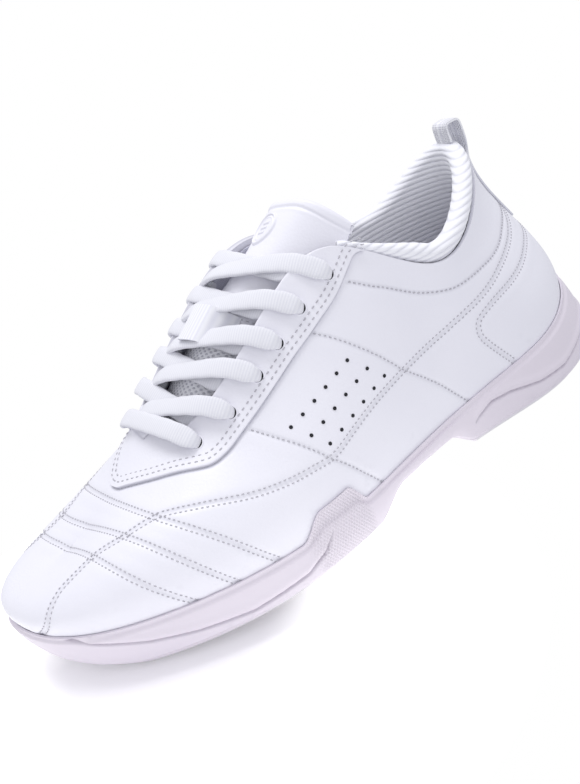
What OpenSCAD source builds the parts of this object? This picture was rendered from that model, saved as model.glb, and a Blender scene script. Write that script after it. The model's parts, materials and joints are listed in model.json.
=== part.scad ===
// Cheer shoe, left foot: lasted synthetic-leather upper on a split-sole foam cup sole.
// Toe along -X, heel along +X, outer (lateral) side along -Y, sole on the floor at z = 0.

/* [Upper] */
// Thickness of the outer leather
leather = 1.3; // [1.0:0.1:1.4]
// Thickness of the eyestay overlay sewn over the quarters
overlay = 1.1; // [0.8:0.1:1.3]
// Thickness of the textile lining
lining = 0.9; // [0.7:0.1:1.0]
// Extra foam in the ankle collar, over the plain lining
collar_pad = 4.2; // [3.0:0.1:4.5]
// Radius of the fabric roll along the top line of the collar
roll_r = 3.3; // [3.0:0.1:3.4]

/* [Sole] */
// Thickness of the rubber outsole pads
tread = 2.8; // [2.4:0.1:2.9]
// Overhang of the sole's lip beyond the upper
lip = 1.7; // [1.4:0.1:2.0]
// Lift of the toe end of the sole above the floor
toe_spring = 6; // [4:0.5:8]
// Rise of the bare arch above the two pads
arch_rise = 5; // [4:0.5:5]
// Thickness of the loose inner sole
sock = 3.5; // [3.0:0.1:4.0]

/* [Lacing] */
// Width of the flat lace
lace_w = 7; // [6.5:0.1:7.2]
// Thickness of the flat lace
lace_t = 2; // [1.8:0.1:2.1]
// Diameter of the punched lace holes
eyelet_d = 4.4; // [4.2:0.1:4.8]

/* [Pull tab] */
// Width of the heel pull tab's webbing
tab_w = 9; // [8:0.5:10]
// Thickness of the webbing
tab_t = 1.4; // [1.2:0.1:1.5]
// Height of the loop above its hinge line
tab_h = 10.2; // [10:0.2:13]

/* [Hidden] */

// Clearance between neighbouring layers
gap = 0.1;
// Offset from the last's own frame to the middle of the shoe's footprint
centre = [1.45, -1, 0];

// Stations of the last, toe first, then along the outer side, round the heel and back along the
// inner side: foot edge x, y, z where the leather meets the sole, then top edge x, y, z.
last = [
    [-126, 12, 25, -96, 6, 38],
    [-119, -9, 23.5, -93, 5, 39.5],
    [-102, -26, 21.5, -86, 4, 42.5],
    [-75, -37.5, 19, -74, 2.5, 49],
    [-45, -43.5, 17, -57.5, -3, 56],
    [-15, -43, 16, -35.5, -16, 65.5],
    [13, -37.5, 16.5, -4, -19, 86],
    [40, -33, 18, 25, -23.5, 98],
    [69, -33, 22, 54.5, -33, 70.5],
    [99.5, -31, 26.5, 85.5, -22.5, 82],
    [125.5, 0, 33.5, 104.5, 2.5, 95],
    [97, 27.5, 26, 90.5, 23, 86],
    [65, 28.5, 18.5, 58, 28.5, 75.5],
    [37, 28, 15, 22, 20, 100.5],
    [11, 32, 15.5, -8, 16, 95.5],
    [-17, 38, 18, -38, 14, 75.5],
    [-47, 42, 20, -59, 9, 61],
    [-76.5, 40.5, 21.5, -74, 8, 50.5],
    [-103, 35, 23, -86, 7, 43.5],
    [-121, 26.5, 24, -93, 6.5, 40]
];
stations = len(last);
// Section shape from toe to heel, the same on both sides: slope at the top edge in degrees,
// bulge of the wall in mm, fullness low down and fullness near the top.
form = [
    [8, 4, 0.75, 0.70], [5, 5, 0.75, 0.70], [2, 5, 0.70, 0.70], [0, 4, 0.65, 0.62],
    [6, 3, 0.60, 0.55], [28, 2, 0.50, 0.45], [38, 1, 0.45, 0.40], [52, 1, 0.40, 0.35],
    [80, 2, 0.35, 0.35], [88, 2, 0.35, 0.35], [88, 2, 0.35, 0.35]
];
// How far the sole's wall stands out from the foot edge at each station, low down
flare = [
    -2, -2.5, -2, 0.5, 2, 0.5, 0, 0, 1, 2, 9,
    2, 1, 1, 0.5, 0.5, 0.5, 0.5, -1, -2
];
// Height of the footbed along the shoe
bed_line = [
    [-135, 17], [-118, 15], [-105, 13], [-90, 11.3], [-75, 10.3], [-60, 9.8], [-40, 9.8],
    [-20, 10.3], [0, 11.5], [20, 13], [40, 14.7], [60, 16.2], [80, 17.4], [100, 18.2], [135, 19]
];
// Lower edge of the eyestay, as section height over station
eyestay_line = [
    [3.1, 0.99], [3.3, 0.94], [3.54, 0.87], [3.88, 0.79], [4.1, 0.74], [4.3, 0.72], [4.6, 0.745],
    [4.86, 0.775], [5.22, 0.788], [5.7, 0.79], [6.1, 0.78], [6.5, 0.80], [6.8, 0.86], [7.15, 0.97]
];
// Stations of the six lace holes on the outer side; the inner row sits a little nearer the toe
hole_stations = [4.44, 4.98, 5.42, 5.76, 6.14, 6.6];
inner_shift = 0.42;
hole_height = 0.88;

// ---- smooth closed loops and the surface of the last ----

function ctrl(p) = let (n = len(p))
    [for (i = [0:n - 1]) p[i] - (p[(i + n - 1) % n] - 2 * p[i] + p[(i + 1) % n]) / 6];
function on_loop(c, t) = let (
        n = len(c), u = t - n * floor(t / n), i = floor(u), f = u - i, g = 1 - f)
    (c[(i + n - 1) % n] * g * g * g + c[i] * (3 * f * f * f - 6 * f * f + 4)
        + c[(i + 1) % n] * (3 * g * g * g - 6 * g * g + 4) + c[(i + 2) % n] * f * f * f) / 6;

foot_loop = ctrl([for (s = last) [s[0], s[1], s[2]]]);
top_loop = ctrl([for (s = last) [s[3], s[4], s[5]]]);
form_loop = ctrl([for (i = [0:stations - 1]) form[min(i, stations - i)]]);
flare_loop = ctrl([for (f = flare) [f, 0]]);

function foot(t) = on_loop(foot_loop, t);
function plan(p) = [p[0], p[1], 0];
// Horizontal direction that points out of the shoe at station t
function outward(t) = let (d = foot(t + 0.01) - foot(t - 0.01)) [d[1], -d[0], 0] / norm(plan(d));
// Point of the last at station t and section height v, which is 0 at the foot edge and 1 on top
function last_at(t, v) = let (
        a = foot(t), c = on_loop(top_loop, t), s = on_loop(form_loop, t), d = c - a,
        low = outward(t) * s[1] + [0, 0, s[2] * d[2]], reach = s[3] * norm(d),
        high = plan(d) / norm(plan(d)) * cos(s[0]) * reach + [0, 0, sin(s[0]) * reach], w = 1 - v)
    v < 0 ? a + 3 * v * low
        : a * w * w * w + 3 * (a + low) * v * w * w + 3 * (c - high) * v * v * w + c * v * v * v;
function unit(a) = a / norm(a);
function normal_at(t, v) = unit(cross(
    last_at(t + 0.04, v) - last_at(t - 0.04, v), last_at(t, v + 0.01) - last_at(t, v - 0.01)));
function skin(t, v, d) = last_at(t, v) + d * normal_at(t, v);

// Section height, below the foot edge, at which the upper meets the board on the sole
function bottom_v(t, clear = 0.4) = let (a = foot(t), s = on_loop(form_loop, t))
    (lookup(a[0], bed_line) + clear - a[2]) / (3 * s[2] * (on_loop(top_loop, t)[2] - a[2]));
function ramp(x, a, b) = let (u = max(0, min(1, (x - a) / (b - a)))) u * u * (3 - 2 * u);
// Distance of station t from the toe, the same on both sides
function from_toe(t) = let (u = t - stations * floor(t / stations)) min(u, stations - u);
// Extra collar foam at station t and height v
function pad(t, v) = collar_pad * ramp(from_toe(t), 6.2, 7.6) * ramp(v, 0.25, 0.75);

// ---- solids from grids of points ----

// Closed solid between an outer and an inner grid of points, rows by columns
module slab(outer, inner) {
    r = len(outer);
    c = len(outer[0]);
    o = r * c;
    function at(i, j) = i * c + j;
    function quad(a, b, e, f) = [[a, b, e], [a, e, f]];
    polyhedron(
        [for (row = outer) each row, for (row = inner) each row],
        [
            for (i = [0:r - 2], j = [0:c - 2]) each quad(at(i, j), at(i, j + 1), at(i + 1, j + 1), at(i + 1, j)),
            for (i = [0:r - 2], j = [0:c - 2])
                each quad(o + at(i, j), o + at(i + 1, j), o + at(i + 1, j + 1), o + at(i, j + 1)),
            for (i = [0:r - 2], e = [0, 1]) let (j = e * (c - 1), a = at(i, j), b = at(i + 1, j))
                each (e == 0 ? quad(a, b, o + b, o + a) : quad(b, a, o + a, o + b)),
            for (j = [0:c - 2], e = [0, 1]) let (i = e * (r - 1), a = at(i, j), b = at(i, j + 1))
                each (e == 0 ? quad(b, a, o + a, o + b) : quad(a, b, o + b, o + a))
        ],
        convexity = 6);
}

// Layer of the upper from station t0 to t1, in n steps, and from height lo to hi, in m steps,
// between two offsets from the last
module layer(t0, t1, n, lo, hi, m, d_out, d_in) {
    grid = [for (i = [0:n]) let (t = t0 + (t1 - t0) * i / n, a = lo(t), b = hi(t))
        [for (j = [0:m]) let (v = a + (b - a) * j / m) [t, v, normal_at(t, v)]]];
    slab(
        [for (row = grid) [for (p = row) last_at(p[0], p[1]) + d_out(p[0], p[1]) * p[2]]],
        [for (row = grid) [for (p = row) last_at(p[0], p[1]) + d_in(p[0], p[1]) * p[2]]]);
}

// Layer over the toe, from one foot edge across the ridge to the other, in n steps from the toe's
// tip to the throat and m steps up each side; the two sides share their first row
module toe_layer(n, m, d_out, d_in) {
    c = 2 * m + 3;
    o = (n + 1) * c;
    function on_side(s, w, d) = let (a = bottom_v(s)) skin(s, a + (1 - a) * w, d);
    function point(i, j, d) = let (t = throat * i / n)
        j == m + 1 ? (skin(t, 1, d) + skin(-t, 1, d)) / 2
            : j <= m ? on_side(t, j / m, d) : on_side(-t, (c - 1 - j) / m, d);
    function at(i, j) = i > 0 ? i * c + j : min(j, c - 1 - j, m);
    function tri(a, b, e) = a == b || b == e || a == e ? [] : [[a, b, e]];
    function quad(a, b, e, f) = concat(tri(a, b, e), tri(a, e, f));
    polyhedron(
        [for (d = [d_out, d_in], i = [0:n], j = [0:c - 1]) point(i, j, d)],
        [
            for (i = [0:n - 1], j = [0:c - 2]) let (
                a = at(i, j), b = at(i, j + 1), e = at(i + 1, j + 1), f = at(i + 1, j))
                each concat(quad(a, b, e, f), quad(o + a, o + f, o + e, o + b)),
            for (i = [0:n - 1], k = [0, 1]) let (
                a = at(i, k * (c - 1)), b = at(i + 1, k * (c - 1)))
                each (k == 0 ? quad(b, o + b, o + a, a) : quad(a, o + a, o + b, b)),
            for (j = [0:c - 2]) let (a = at(n, j), b = at(n, j + 1)) each quad(b, o + b, o + a, a)
        ],
        convexity = 6);
}

// Strip that joins the two sides of a layer across the ridge of the toe
module ridge(ta, tb, n, d_out, d_in) {
    inset = 0.04;
    function row(t, d) = [skin(t, 1 - inset, d), skin(t, 1, d), skin(-t, 1, d), skin(-t, 1 - inset, d)];
    slab(
        [for (i = [0:n]) row(ta + (tb - ta) * i / n, d_out)],
        [for (i = [0:n]) row(ta + (tb - ta) * i / n, d_in)]);
}

// Closed solid from open arcs stacked from the bottom up; the two ends of each arc are joined by a
// straight wall, and the first and last arcs are closed by strips straight across
module loaf(arcs) {
    r = len(arcs);
    c = len(arcs[0]);
    function at(k, i) = k * c + (i % c);
    function across(k, flip) = [for (i = [0:floor(c / 2) - 1]) let (
            a = at(k, i), b = at(k, i + 1), e = at(k, c - 2 - i), f = at(k, c - 1 - i))
        each (b == e ? (flip ? [[a, f, b]] : [[a, b, f]])
            : b == f ? [] : flip ? [[a, e, b], [a, f, e]] : [[a, b, e], [a, e, f]])];
    polyhedron(
        [for (arc = arcs) each arc],
        [
            for (k = [0:r - 2], i = [0:c - 1])
                let (a = at(k, i), b = at(k, i + 1), e = at(k + 1, i + 1), f = at(k + 1, i))
                each [[a, f, e], [a, e, b]],
            each across(0, false),
            each across(r - 1, true)
        ],
        convexity = 6);
}

// Tube of an oval section along a list of points, flat side turned towards the list of normals;
// the first and last few rings are drawn in by pinch, where a flat lace is gathered in its hole
module ribbon(path, normals, half_w, half_t, pinch = 1, sides = 8) {
    n = len(path);
    rings = [for (i = [0:n - 1]) let (
            d = unit(path[min(i + 1, n - 1)] - path[max(i - 1, 0)]),
            side = unit(cross(d, normals[i])), up = cross(side, d),
            half = half_w * (pinch + (1 - pinch) * ramp(min(i, n - 1 - i), 1, 4)))
        [for (k = [0:sides - 1]) let (a = 360 * (k + 0.5) / sides)
            path[i] + side * (half * cos(a)) + up * (half_t * sin(a))]];
    polyhedron(
        [for (ring = rings) each ring],
        [
            [for (k = [sides - 1:-1:0]) k],
            for (i = [0:n - 2], k = [0:sides - 1]) let (
                a = i * sides + k, b = i * sides + (k + 1) % sides)
                each [[a, b, b + sides], [a, b + sides, a + sides]],
            [for (k = [0:sides - 1]) (n - 1) * sides + k]
        ],
        convexity = 8);
}

// Smooth curve through points chosen by hand, steps per span
function smooth(p, steps) = let (n = len(p)) [
    for (i = [0:n - 2], k = [0:steps - 1]) let (
        a = p[max(i - 1, 0)], b = p[i], c = p[i + 1], d = p[min(i + 2, n - 1)], u = k / steps)
        b + (c - a) / 2 * u + (a - 2.5 * b + 2 * c - d / 2) * u * u
            + (1.5 * b - a / 2 - 1.5 * c + d / 2) * u * u * u,
    p[n - 1]
];

// ---- sole unit ----

function spring(x) = toe_spring * pow(max(0, -95 - x) / 25, 1.6);
function arch(x) = ramp(x, -6, 10) * (1 - ramp(x, 36, 48));
// Arc of the sole's outline, out beyond the foot edge, at heights given by a function of the point
function sole_arc(t0, t1, n, out, height) = [for (i = [0:n]) let (
        t = t0 + (t1 - t0) * i / n, p = foot(t) + outward(t) * out(t))
    [p[0], p[1], height(p[0], t)]];
function low_flare(t) = on_loop(flare_loop, t)[0];
// Arc at the outer face of the upper's lasting edge, moved in by a distance
function cup_arc(t0, t1, n, inset, height) = [for (i = [0:n]) let (
        t = t0 + (t1 - t0) * i / n, p = last_at(t, bottom_v(t)) - outward(t) * inset)
    [p[0], p[1], height(p[0])]];
function bed(x) = lookup(x, bed_line);
whole = 9.97;
sole_steps = 76;
// Room left for cement between the upper and the wall of the cup sole
cup_gap = 0.45;
// Shank pocket: x range, half width and depth
shank_x = [-2, 66];
shank_w = 8;
shank_t = 1.6;

module shank_block(side, below, above) {
    xs = [shank_x[0] - side, shank_x[1] + side];
    n = 8;
    function arc(dz) = [
        for (i = [0:n]) let (x = xs[1] - (xs[1] - xs[0]) * i / n) [x, shank_w + side, bed(x) + dz],
        for (i = [0:n]) let (x = xs[0] + (xs[1] - xs[0]) * i / n) [x, -shank_w - side, bed(x) + dz]];
    loaf([arc(below), arc(above)]);
}

module midsole() {
    color("white") difference() {
        loaf([
            sole_arc(-whole, whole, sole_steps, function (t) low_flare(t) - 1.8,
                function (x, t) tread + 0.2 + spring(x) + arch_rise * arch(x)),
            sole_arc(-whole, whole, sole_steps, function (t) low_flare(t),
                function (x, t) 5.5 + spring(x) + (arch_rise + 1) * arch(x)),
            sole_arc(-whole, whole, sole_steps, function (t) (low_flare(t) + lip) / 2 - 0.6 + 1.2 * ramp(from_toe(t), 9, 10),
                function (x, t) (5.5 + spring(x) + (arch_rise + 1) * arch(x) + foot(t)[2]) / 2),
            sole_arc(-whole, whole, sole_steps, function (t) lip, function (x, t) foot(t)[2] - 1.4),
            sole_arc(-whole, whole, sole_steps, function (t) lip - 0.4, function (x, t) foot(t)[2] + 0.4),
            [for (i = [0:sole_steps]) let (t = -whole + 2 * whole * i / sole_steps)
                skin(t, 0.01, cup_gap)],
            [for (i = [0:sole_steps]) let (t = -whole + 2 * whole * i / sole_steps)
                skin(t, bottom_v(t) * 0.5, cup_gap)],
            [for (i = [0:sole_steps]) let (
                    t = -whole + 2 * whole * i / sole_steps, p = skin(t, bottom_v(t), cup_gap))
                [p[0], p[1], bed(p[0]) - gap]]
        ]);
        shank_block(gap, -shank_t - 2 * gap, 1);
    }
}

module outsole_pad(t0, t1, n) {
    loaf([
        sole_arc(t0, t1, n, function (t) low_flare(t) - 6.2, function (x, t) spring(x)),
        sole_arc(t0, t1, n, function (t) low_flare(t) - 4, function (x, t) 0.6 + spring(x)),
        sole_arc(t0, t1, n, function (t) low_flare(t) - 2.1, function (x, t) tread + spring(x))
    ]);
}

module forefoot_outsole() {
    color("whitesmoke") outsole_pad(-5.35, 5.45, 44);
}

module heel_outsole() {
    color("whitesmoke") union() {
        outsole_pad(7.3, 12.65, 32);
        linear_extrude(tread) polygon([for (p = sole_arc(7.4, 12.55, 32,
            function (t) low_flare(t) - 6.8, function (x, t) 0)) [p[0], p[1]]]);
    }
}

module arch_shank() {
    color("dimgray") shank_block(0, -shank_t - gap, -2 * gap);
}

module insole_board() {
    wall = leather + 2 * lining + 2.4;
    color("tan") loaf([
        cup_arc(-whole, whole, sole_steps, wall, function (x) bed(x)),
        cup_arc(-whole, whole, sole_steps, wall, function (x) bed(x) + 1.4)
    ]);
}

module sockliner() {
    wall = leather + 2 * lining + 2.8;
    color("lightgray") loaf([
        cup_arc(-whole, whole, sole_steps, wall, function (x) bed(x) + 1.5),
        cup_arc(-whole, whole, sole_steps, wall - 0.4, function (x) bed(x) + 1.5 + sock * 0.7),
        cup_arc(-whole, whole, sole_steps, wall + 0.8, function (x) bed(x) + 1.5 + sock)
    ]);
}

// ---- upper ----

// Offsets of the layers from the last's outer face
stiff_out = -leather - 4 * gap;
stiff_in = stiff_out - 0.9;
lining_out = stiff_in - 2 * gap;
lining_in = lining_out - lining;
// Station where the two sides of the vamp part at the throat
throat = 4.1;
// Stations of the seams at the front and back of the quarters
front_seam = throat + 0.02;
heel_seam = 8.95;

function foot_side(t) = bottom_v(t);
function top_side(t) = 1;

module lace_holes(side) {
    for (s = hole_stations) {
        t = side < 0 ? s : stations - s + inner_shift;
        p = last_at(t, hole_height);
        n = normal_at(t, hole_height);
        translate(p) rotate([0, acos(n[2]), atan2(n[1], n[0])])
            cylinder(h = 12, d = eyelet_d, center = true, $fn = 24);
    }
}

module vamp() {
    color("white") toe_layer(16, 8, 0, -leather);
}

module quarter(t0, t1) {
    layer(t0, t1, 20, function (t) foot_side(t), function (t) top_side(t), 7,
        function (t, v) 0, function (t, v) -leather);
}

module lateral_quarter() {
    color("white") difference() {
        quarter(front_seam, heel_seam);
        lace_holes(-1);
    }
}

module medial_quarter() {
    color("white") difference() {
        quarter(stations - heel_seam, stations - front_seam);
        lace_holes(1);
    }
}

module eyestay_side(t0, t1) {
    layer(t0, t1, 20, function (t) lookup(from_toe(t), eyestay_line), function (t) top_side(t), 3,
        function (t, v) overlay, function (t, v) 0.16);
}

module eyestay() {
    color("white") difference() {
        union() {
            eyestay_side(3.12, 7.12);
            eyestay_side(stations - 7.12, stations - 3.12);
            ridge(3.16, throat, 6, overlay - 0.02, 0.18);
        }
        lace_holes(-1);
        lace_holes(1);
    }
}

module eyelet_reinforcement() {
    color("gainsboro") difference() {
        for (t = [[front_seam + 0.08, 6.9], [stations - 6.9, stations - front_seam - 0.08]])
            layer(t[0], t[1], 10, function (t) 0.80, function (t) 0.97, 2,
                function (t, v) stiff_out, function (t, v) stiff_in);
        lace_holes(-1);
        lace_holes(1);
    }
}

module heel_panel() {
    color("white") layer(heel_seam + 0.02, stations - heel_seam - 0.02, 12,
        function (t) foot_side(t), function (t) top_side(t), 7,
        function (t, v) 0, function (t, v) -leather);
}

module toe_puff() {
    color("khaki") layer(-2.4, 2.4, 18, function (t) 0.05, function (t) 0.8, 5,
        function (t, v) stiff_out, function (t, v) stiff_in);
}

module heel_counter() {
    color("khaki") layer(8.4, 11.6, 16, function (t) 0.02, function (t) 0.6 - 0.1 * abs(t - 10), 5,
        function (t, v) stiff_out, function (t, v) stiff_in);
}

module vamp_lining() {
    color("gainsboro") toe_layer(16, 6, lining_out, lining_in);
}

// Upper edge of the quarter lining: under the eyestay it stops below the lace holes
function lining_top(t) = 0.77 + 0.19 * ramp(from_toe(t), 6.9, 7.4);

module quarter_lining() {
    color("lavender") layer(front_seam, stations - front_seam, 46,
        function (t) foot_side(t), function (t) lining_top(t), 6,
        function (t, v) lining_out - pad(t, v), function (t, v) lining_in - pad(t, v));
}

module collar_foam() {
    color("lightyellow") layer(6.9, stations - 7, 34,
        function (t) 0.62 - 0.05 * ramp(from_toe(t), 7, 8), function (t) 0.94, 4,
        function (t, v) stiff_in - gap, function (t, v) lining_out - pad(t, v) + 5 * gap);
}

// The roll narrows to nothing where it runs in under the eyestay
function roll_at(t) = roll_r * (0.35 + 0.65 * ramp(from_toe(t), 7.2, 7.9));
roll_from = 7.2;

module collar_roll() {
    sides = 10;
    n = 46;
    rings = [for (i = [0:n]) let (
            t = roll_from + (stations - 2 * roll_from) * i / n, r = roll_at(t),
            out = normal_at(t, 1), along = unit(last_at(t + 0.05, 1) - last_at(t - 0.05, 1)),
            up = cross(out, along), c = last_at(t, 1) - out * (r + 0.3) + up * (r + 0.3))
        [for (k = [0:sides - 1]) let (a = 360 * k / sides) c + r * (cos(a) * out + sin(a) * up)]];
    color("lavender") polyhedron(
        [for (ring = rings) each ring],
        [
            [for (k = [sides - 1:-1:0]) k],
            for (i = [0:n - 1], k = [0:sides - 1]) let (
                a = i * sides + k, b = i * sides + (k + 1) % sides)
                each [[a, b, b + sides], [a, b + sides, a + sides]],
            [for (k = [0:sides - 1]) n * sides + k]
        ],
        convexity = 8);
}

// ---- tongue ----

// Middle line of the tongue's outer face, x and z, from the toe end to the free end
tongue_line = [
    [-66, 45], [-58, 51.5], [-46, 62.5], [-33, 73], [-20, 82], [-8, 90], [4, 97.5], [13, 102.5],
    [21, 107.5], [26, 110.5]
];
tongue_y = 0.5;
// Rise of the inner wing over the outer one
tongue_tilt = 1;
tongue_skew = 0.3;
// Reach of the outer and the inner wing
tongue_wing = [20.5, 16];
fold_s = 0.76;
function tongue_mid(s) = let (n = len(tongue_line) - 1, u = s * n, i = min(floor(u), n - 1), f = u - i)
    tongue_line[i] * (1 - f) + tongue_line[i + 1] * f;
// Depth of the wings below the middle line, and how square the section is
function tongue_drop(s) = 14 + 5 * ramp(s, 0, 0.3) - 3 * ramp(s, 0.5, 0.7) - 2 * ramp(s, 0.75, 1);
function tongue_square(s) = 2 + 1.0 * ramp(s, 0.5, 1);
function tongue_reach(s, w) = (w < 0 ? tongue_wing[0] : tongue_wing[1]) - 5 * (1 - ramp(s, 0, 0.35));
// Point of the tongue at length s, side w from -1 to 1, and distance d outwards
function tongue_at(s, w, d) = let (
        m = tongue_mid(s), g = unit(tongue_mid(min(1, s + 0.06)) - tongue_mid(max(0, s - 0.06))),
        up = [-g[1], 0, g[0]], y = tongue_reach(s, w) * w)
    [m[0], tongue_y, m[1]] + y * [-tongue_skew, 1, 0]
        + up * (d - tongue_drop(s) * pow(abs(w), tongue_square(s))
            + tongue_tilt * w * ramp(s, 0, 0.3) * (1 - 0.7 * ramp(s, 0.7, 1)));

module tongue_layer(s0, s1, n, d_out, d_in, reach = 1) {
    m = 12;
    function grid(d) = [for (i = [0:n]) [for (j = [0:m])
        tongue_at(s0 + (s1 - s0) * i / n, reach * (2 * j / m - 1), d)]];
    slab(grid(d_out), grid(d_in));
}

tongue_skin = 0.9;
tongue_pad = 3.0;
pad_out = -tongue_skin - 2 * gap;
pad_in = pad_out - tongue_pad;
mesh_end = 0.5;

module tongue_mesh() {
    color("whitesmoke") tongue_layer(0.02, mesh_end, 11, 0, -tongue_skin);
}
module tongue_facing() {
    color("white") tongue_layer(mesh_end + 0.004, fold_s, 6, 0, -tongue_skin);
}
module tongue_foam() {
    color("lightyellow") tongue_layer(0.06, fold_s, 13, pad_out, pad_in, 0.95);
}
module tongue_lining() {
    color("gainsboro") tongue_layer(0.02, fold_s, 13, pad_in - 2 * gap, pad_in - 2 * gap - lining * 0.7);
}
module tongue_tip_cover() {
    color("white") tongue_layer(fold_s + 0.004, 1, 8, 0, -tongue_skin);
}
module tongue_tip_foam() {
    color("lightyellow") tongue_layer(fold_s + 0.004, 0.985, 8, pad_out, pad_in, 0.95);
}
module tongue_tip_lining() {
    color("gainsboro") tongue_layer(fold_s + 0.004, 1, 8, pad_in - 2 * gap, pad_in - 2 * gap - lining * 0.7);
}
module tongue_badge() {
    badge_s = 0.87;
    color("white") slab(
        [for (i = [-4:4]) [for (j = [-4:4]) badge_point(badge_s, i / 4, j / 4, 0.8)]],
        [for (i = [-4:4]) [for (j = [-4:4]) badge_point(badge_s, i / 4, j / 4, 0.05)]]);
}
// Square grid turned into a disc, half length along the tongue and half width across it
function badge_point(s, a, b, d) = let (
        u = a * sqrt(1 - b * b / 2), w = b * sqrt(1 - a * a / 2))
    tongue_at(s + 0.062 * u, 0.22 * w, d);

module lace_keeper() {
    m = 12;
    lift = lace_t + 6.2;
    function row(s, d) = [for (j = [0:m]) let (w = 0.42 * (2 * j / m - 1))
        tongue_at(s, w, d + lift * (1 - ramp(abs(w), 0.24, 0.40)))];
    color("white") slab(
        [for (i = [0:3]) row(0.41 + 0.03 * i, 0.9)],
        [for (i = [0:3]) row(0.41 + 0.03 * i, 0.06)]);
}

// ---- laces ----

// Middle of the bar over hole pair k, as steps from the outer hole up, across and down the inner
function bar_station(k) = hole_stations[k];
function inner_station(k) = stations - hole_stations[k] + inner_shift;
function hole_point(side, k, d) = skin(side < 0 ? bar_station(k) : inner_station(k), hole_height, d);
bar_d = overlay + lace_t / 2 + 0.7;
// Height of each bar's crown above the straight line between its two holes
function crown(k) = [6.5, 9, 10.5, 11, 11.5, 13][k];

function bar_path(k) = let (
        a = hole_point(-1, k, -0.8), b = hole_point(1, k, -0.8),
        up_a = normal_at(bar_station(k), hole_height), up_b = normal_at(inner_station(k), hole_height),
        n = 12)
    [
        a, a + up_a * 1.4,
        for (i = [0:n]) let (u = i / n, e = 1 - pow(abs(2 * u - 1), 4.5))
            (a + up_a * (bar_d + 0.8)) * (1 - u) + (b + up_b * (bar_d + 0.8)) * u
                + [-0.45, 0, 0.9] * (crown(k) * e),
        b + up_b * 1.4, b
    ];
function bar_normals(k) = let (
        up_a = normal_at(bar_station(k), hole_height), up_b = normal_at(inner_station(k), hole_height),
        over = unit([-0.5, 0, 0.86]), out = unit(hole_point(-1, k, 0) - hole_point(1, k, 0)), n = 12)
    [
        unit(out + 0.3 * up_a), unit(out + 0.8 * up_a),
        for (i = [0:n]) let (u = i / n)
            unit(u < 0.5 ? up_a * (1 - 2 * u) + over * (2 * u) : up_b * (2 * u - 1) + over * (2 - 2 * u)),
        unit(-out + 0.8 * up_b), unit(-out + 0.3 * up_b)
    ];

module shoelace() {
    color("white") for (k = [0:len(hole_stations) - 1])
        ribbon(bar_path(k), bar_normals(k), lace_w / 2, lace_t / 2, 0.5);
}

// Loose ends of the lace, from under the top hole down inside the quarter and along the footbed
tail_lateral = [
    [19, -22, 84], [24, -22.8, 80], [29, -23.4, 75], [33, -24, 68], [36, -24.5, 60], [40, -24.5, 50],
    [45, -24, 41], [51, -23, 33], [59, -21.5, 27], [68, -20, 24.8], [77, -18.5, 24.8],
    [86, -16.5, 25.2], [94, -13, 25.5], [100, -7.5, 25.8], [103, -1, 26], [102, 6, 26],
    [97, 11.5, 25.8], [89, 14.5, 25.5], [80, 16, 25]
];
tail_medial = [
    [5, 20.6, 83], [12, 21, 79], [20, 20.8, 73], [28, 20.2, 66], [36, 19.5, 58], [36, 20, 49],
    [33, 20.5, 40], [27, 21, 32], [18, 21.5, 25], [9, 21.5, 21.5], [0, 21.5, 20.3], [-9, 22, 19.3],
    [-18, 22.5, 18.6], [-27, 22.5, 18.2], [-36, 21.5, 17.8], [-44, 18, 17.8], [-49, 12, 17.8],
    [-49, 4, 17.8], [-45, -2, 17.8], [-37, -5, 17.8]
];
tail_steps = 2;

module tail(points) {
    path = smooth(points, tail_steps);
    ribbon(path, [for (p = path) [0, 0.05, 1]], lace_t / 2 + 0.6, lace_t / 2);
}
module aglet(points) {
    n = len(points);
    d = unit(points[n - 1] - points[n - 2]);
    start = points[n - 1] + d * 0.1;
    translate(start) rotate([0, acos(d[2]), atan2(d[1], d[0])]) cylinder(h = 22, r = 1.2, $fn = 20);
}

module lace_tail_lateral() {
    color("white") tail(tail_lateral);
}
module lace_tail_medial() {
    color("white") tail(tail_medial);
}
module lateral_aglet() {
    color("gainsboro") aglet(tail_lateral);
}
module medial_aglet() {
    color("gainsboro") aglet(tail_medial);
}

// ---- heel webbing ----

// Hinge line of the pull tab, in the middle of the collar roll at the back of the heel
hinge = last_at(10, 1) + [-roll_r - 0.3, 0, roll_r + 0.3];
tab_front = [-2.4, 0.5];
tab_back = [roll_r + 0.7, 0.6];

module heel_pull_tab() {
    // Outline of the loop in X and Z, measured from the hinge line
    outline = [
        [tab_front[0], tab_front[1] + roll_r], [tab_front[0], tab_h - 1], [tab_front[0] + 1, tab_h],
        [tab_back[0] + tab_t - 1, tab_h], [tab_back[0] + tab_t, tab_h - 1],
        [tab_back[0] + tab_t, tab_back[1]], [tab_back[0], tab_back[1]],
        [tab_back[0], tab_h - tab_t], [tab_front[0] + tab_t, tab_h - tab_t],
        [tab_front[0] + tab_t, tab_front[1] + roll_r]
    ];
    color("white") translate(hinge) rotate([90, 0, 0])
        linear_extrude(tab_w, center = true) polygon(outline);
}

module heel_tape() {
    n = 10;
    cols = 4;
    wide = 0.17;
    function face(d) = [for (k = [0:cols]) [for (i = [n:-1:0])
        skin(10 + wide * (2 * k / cols - 1), 0.96 - 0.5 * i / n, d)]];
    color("white") slab(face(tab_t), face(0.3));
}

module place() {
    translate(-centre) children();
}

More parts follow.
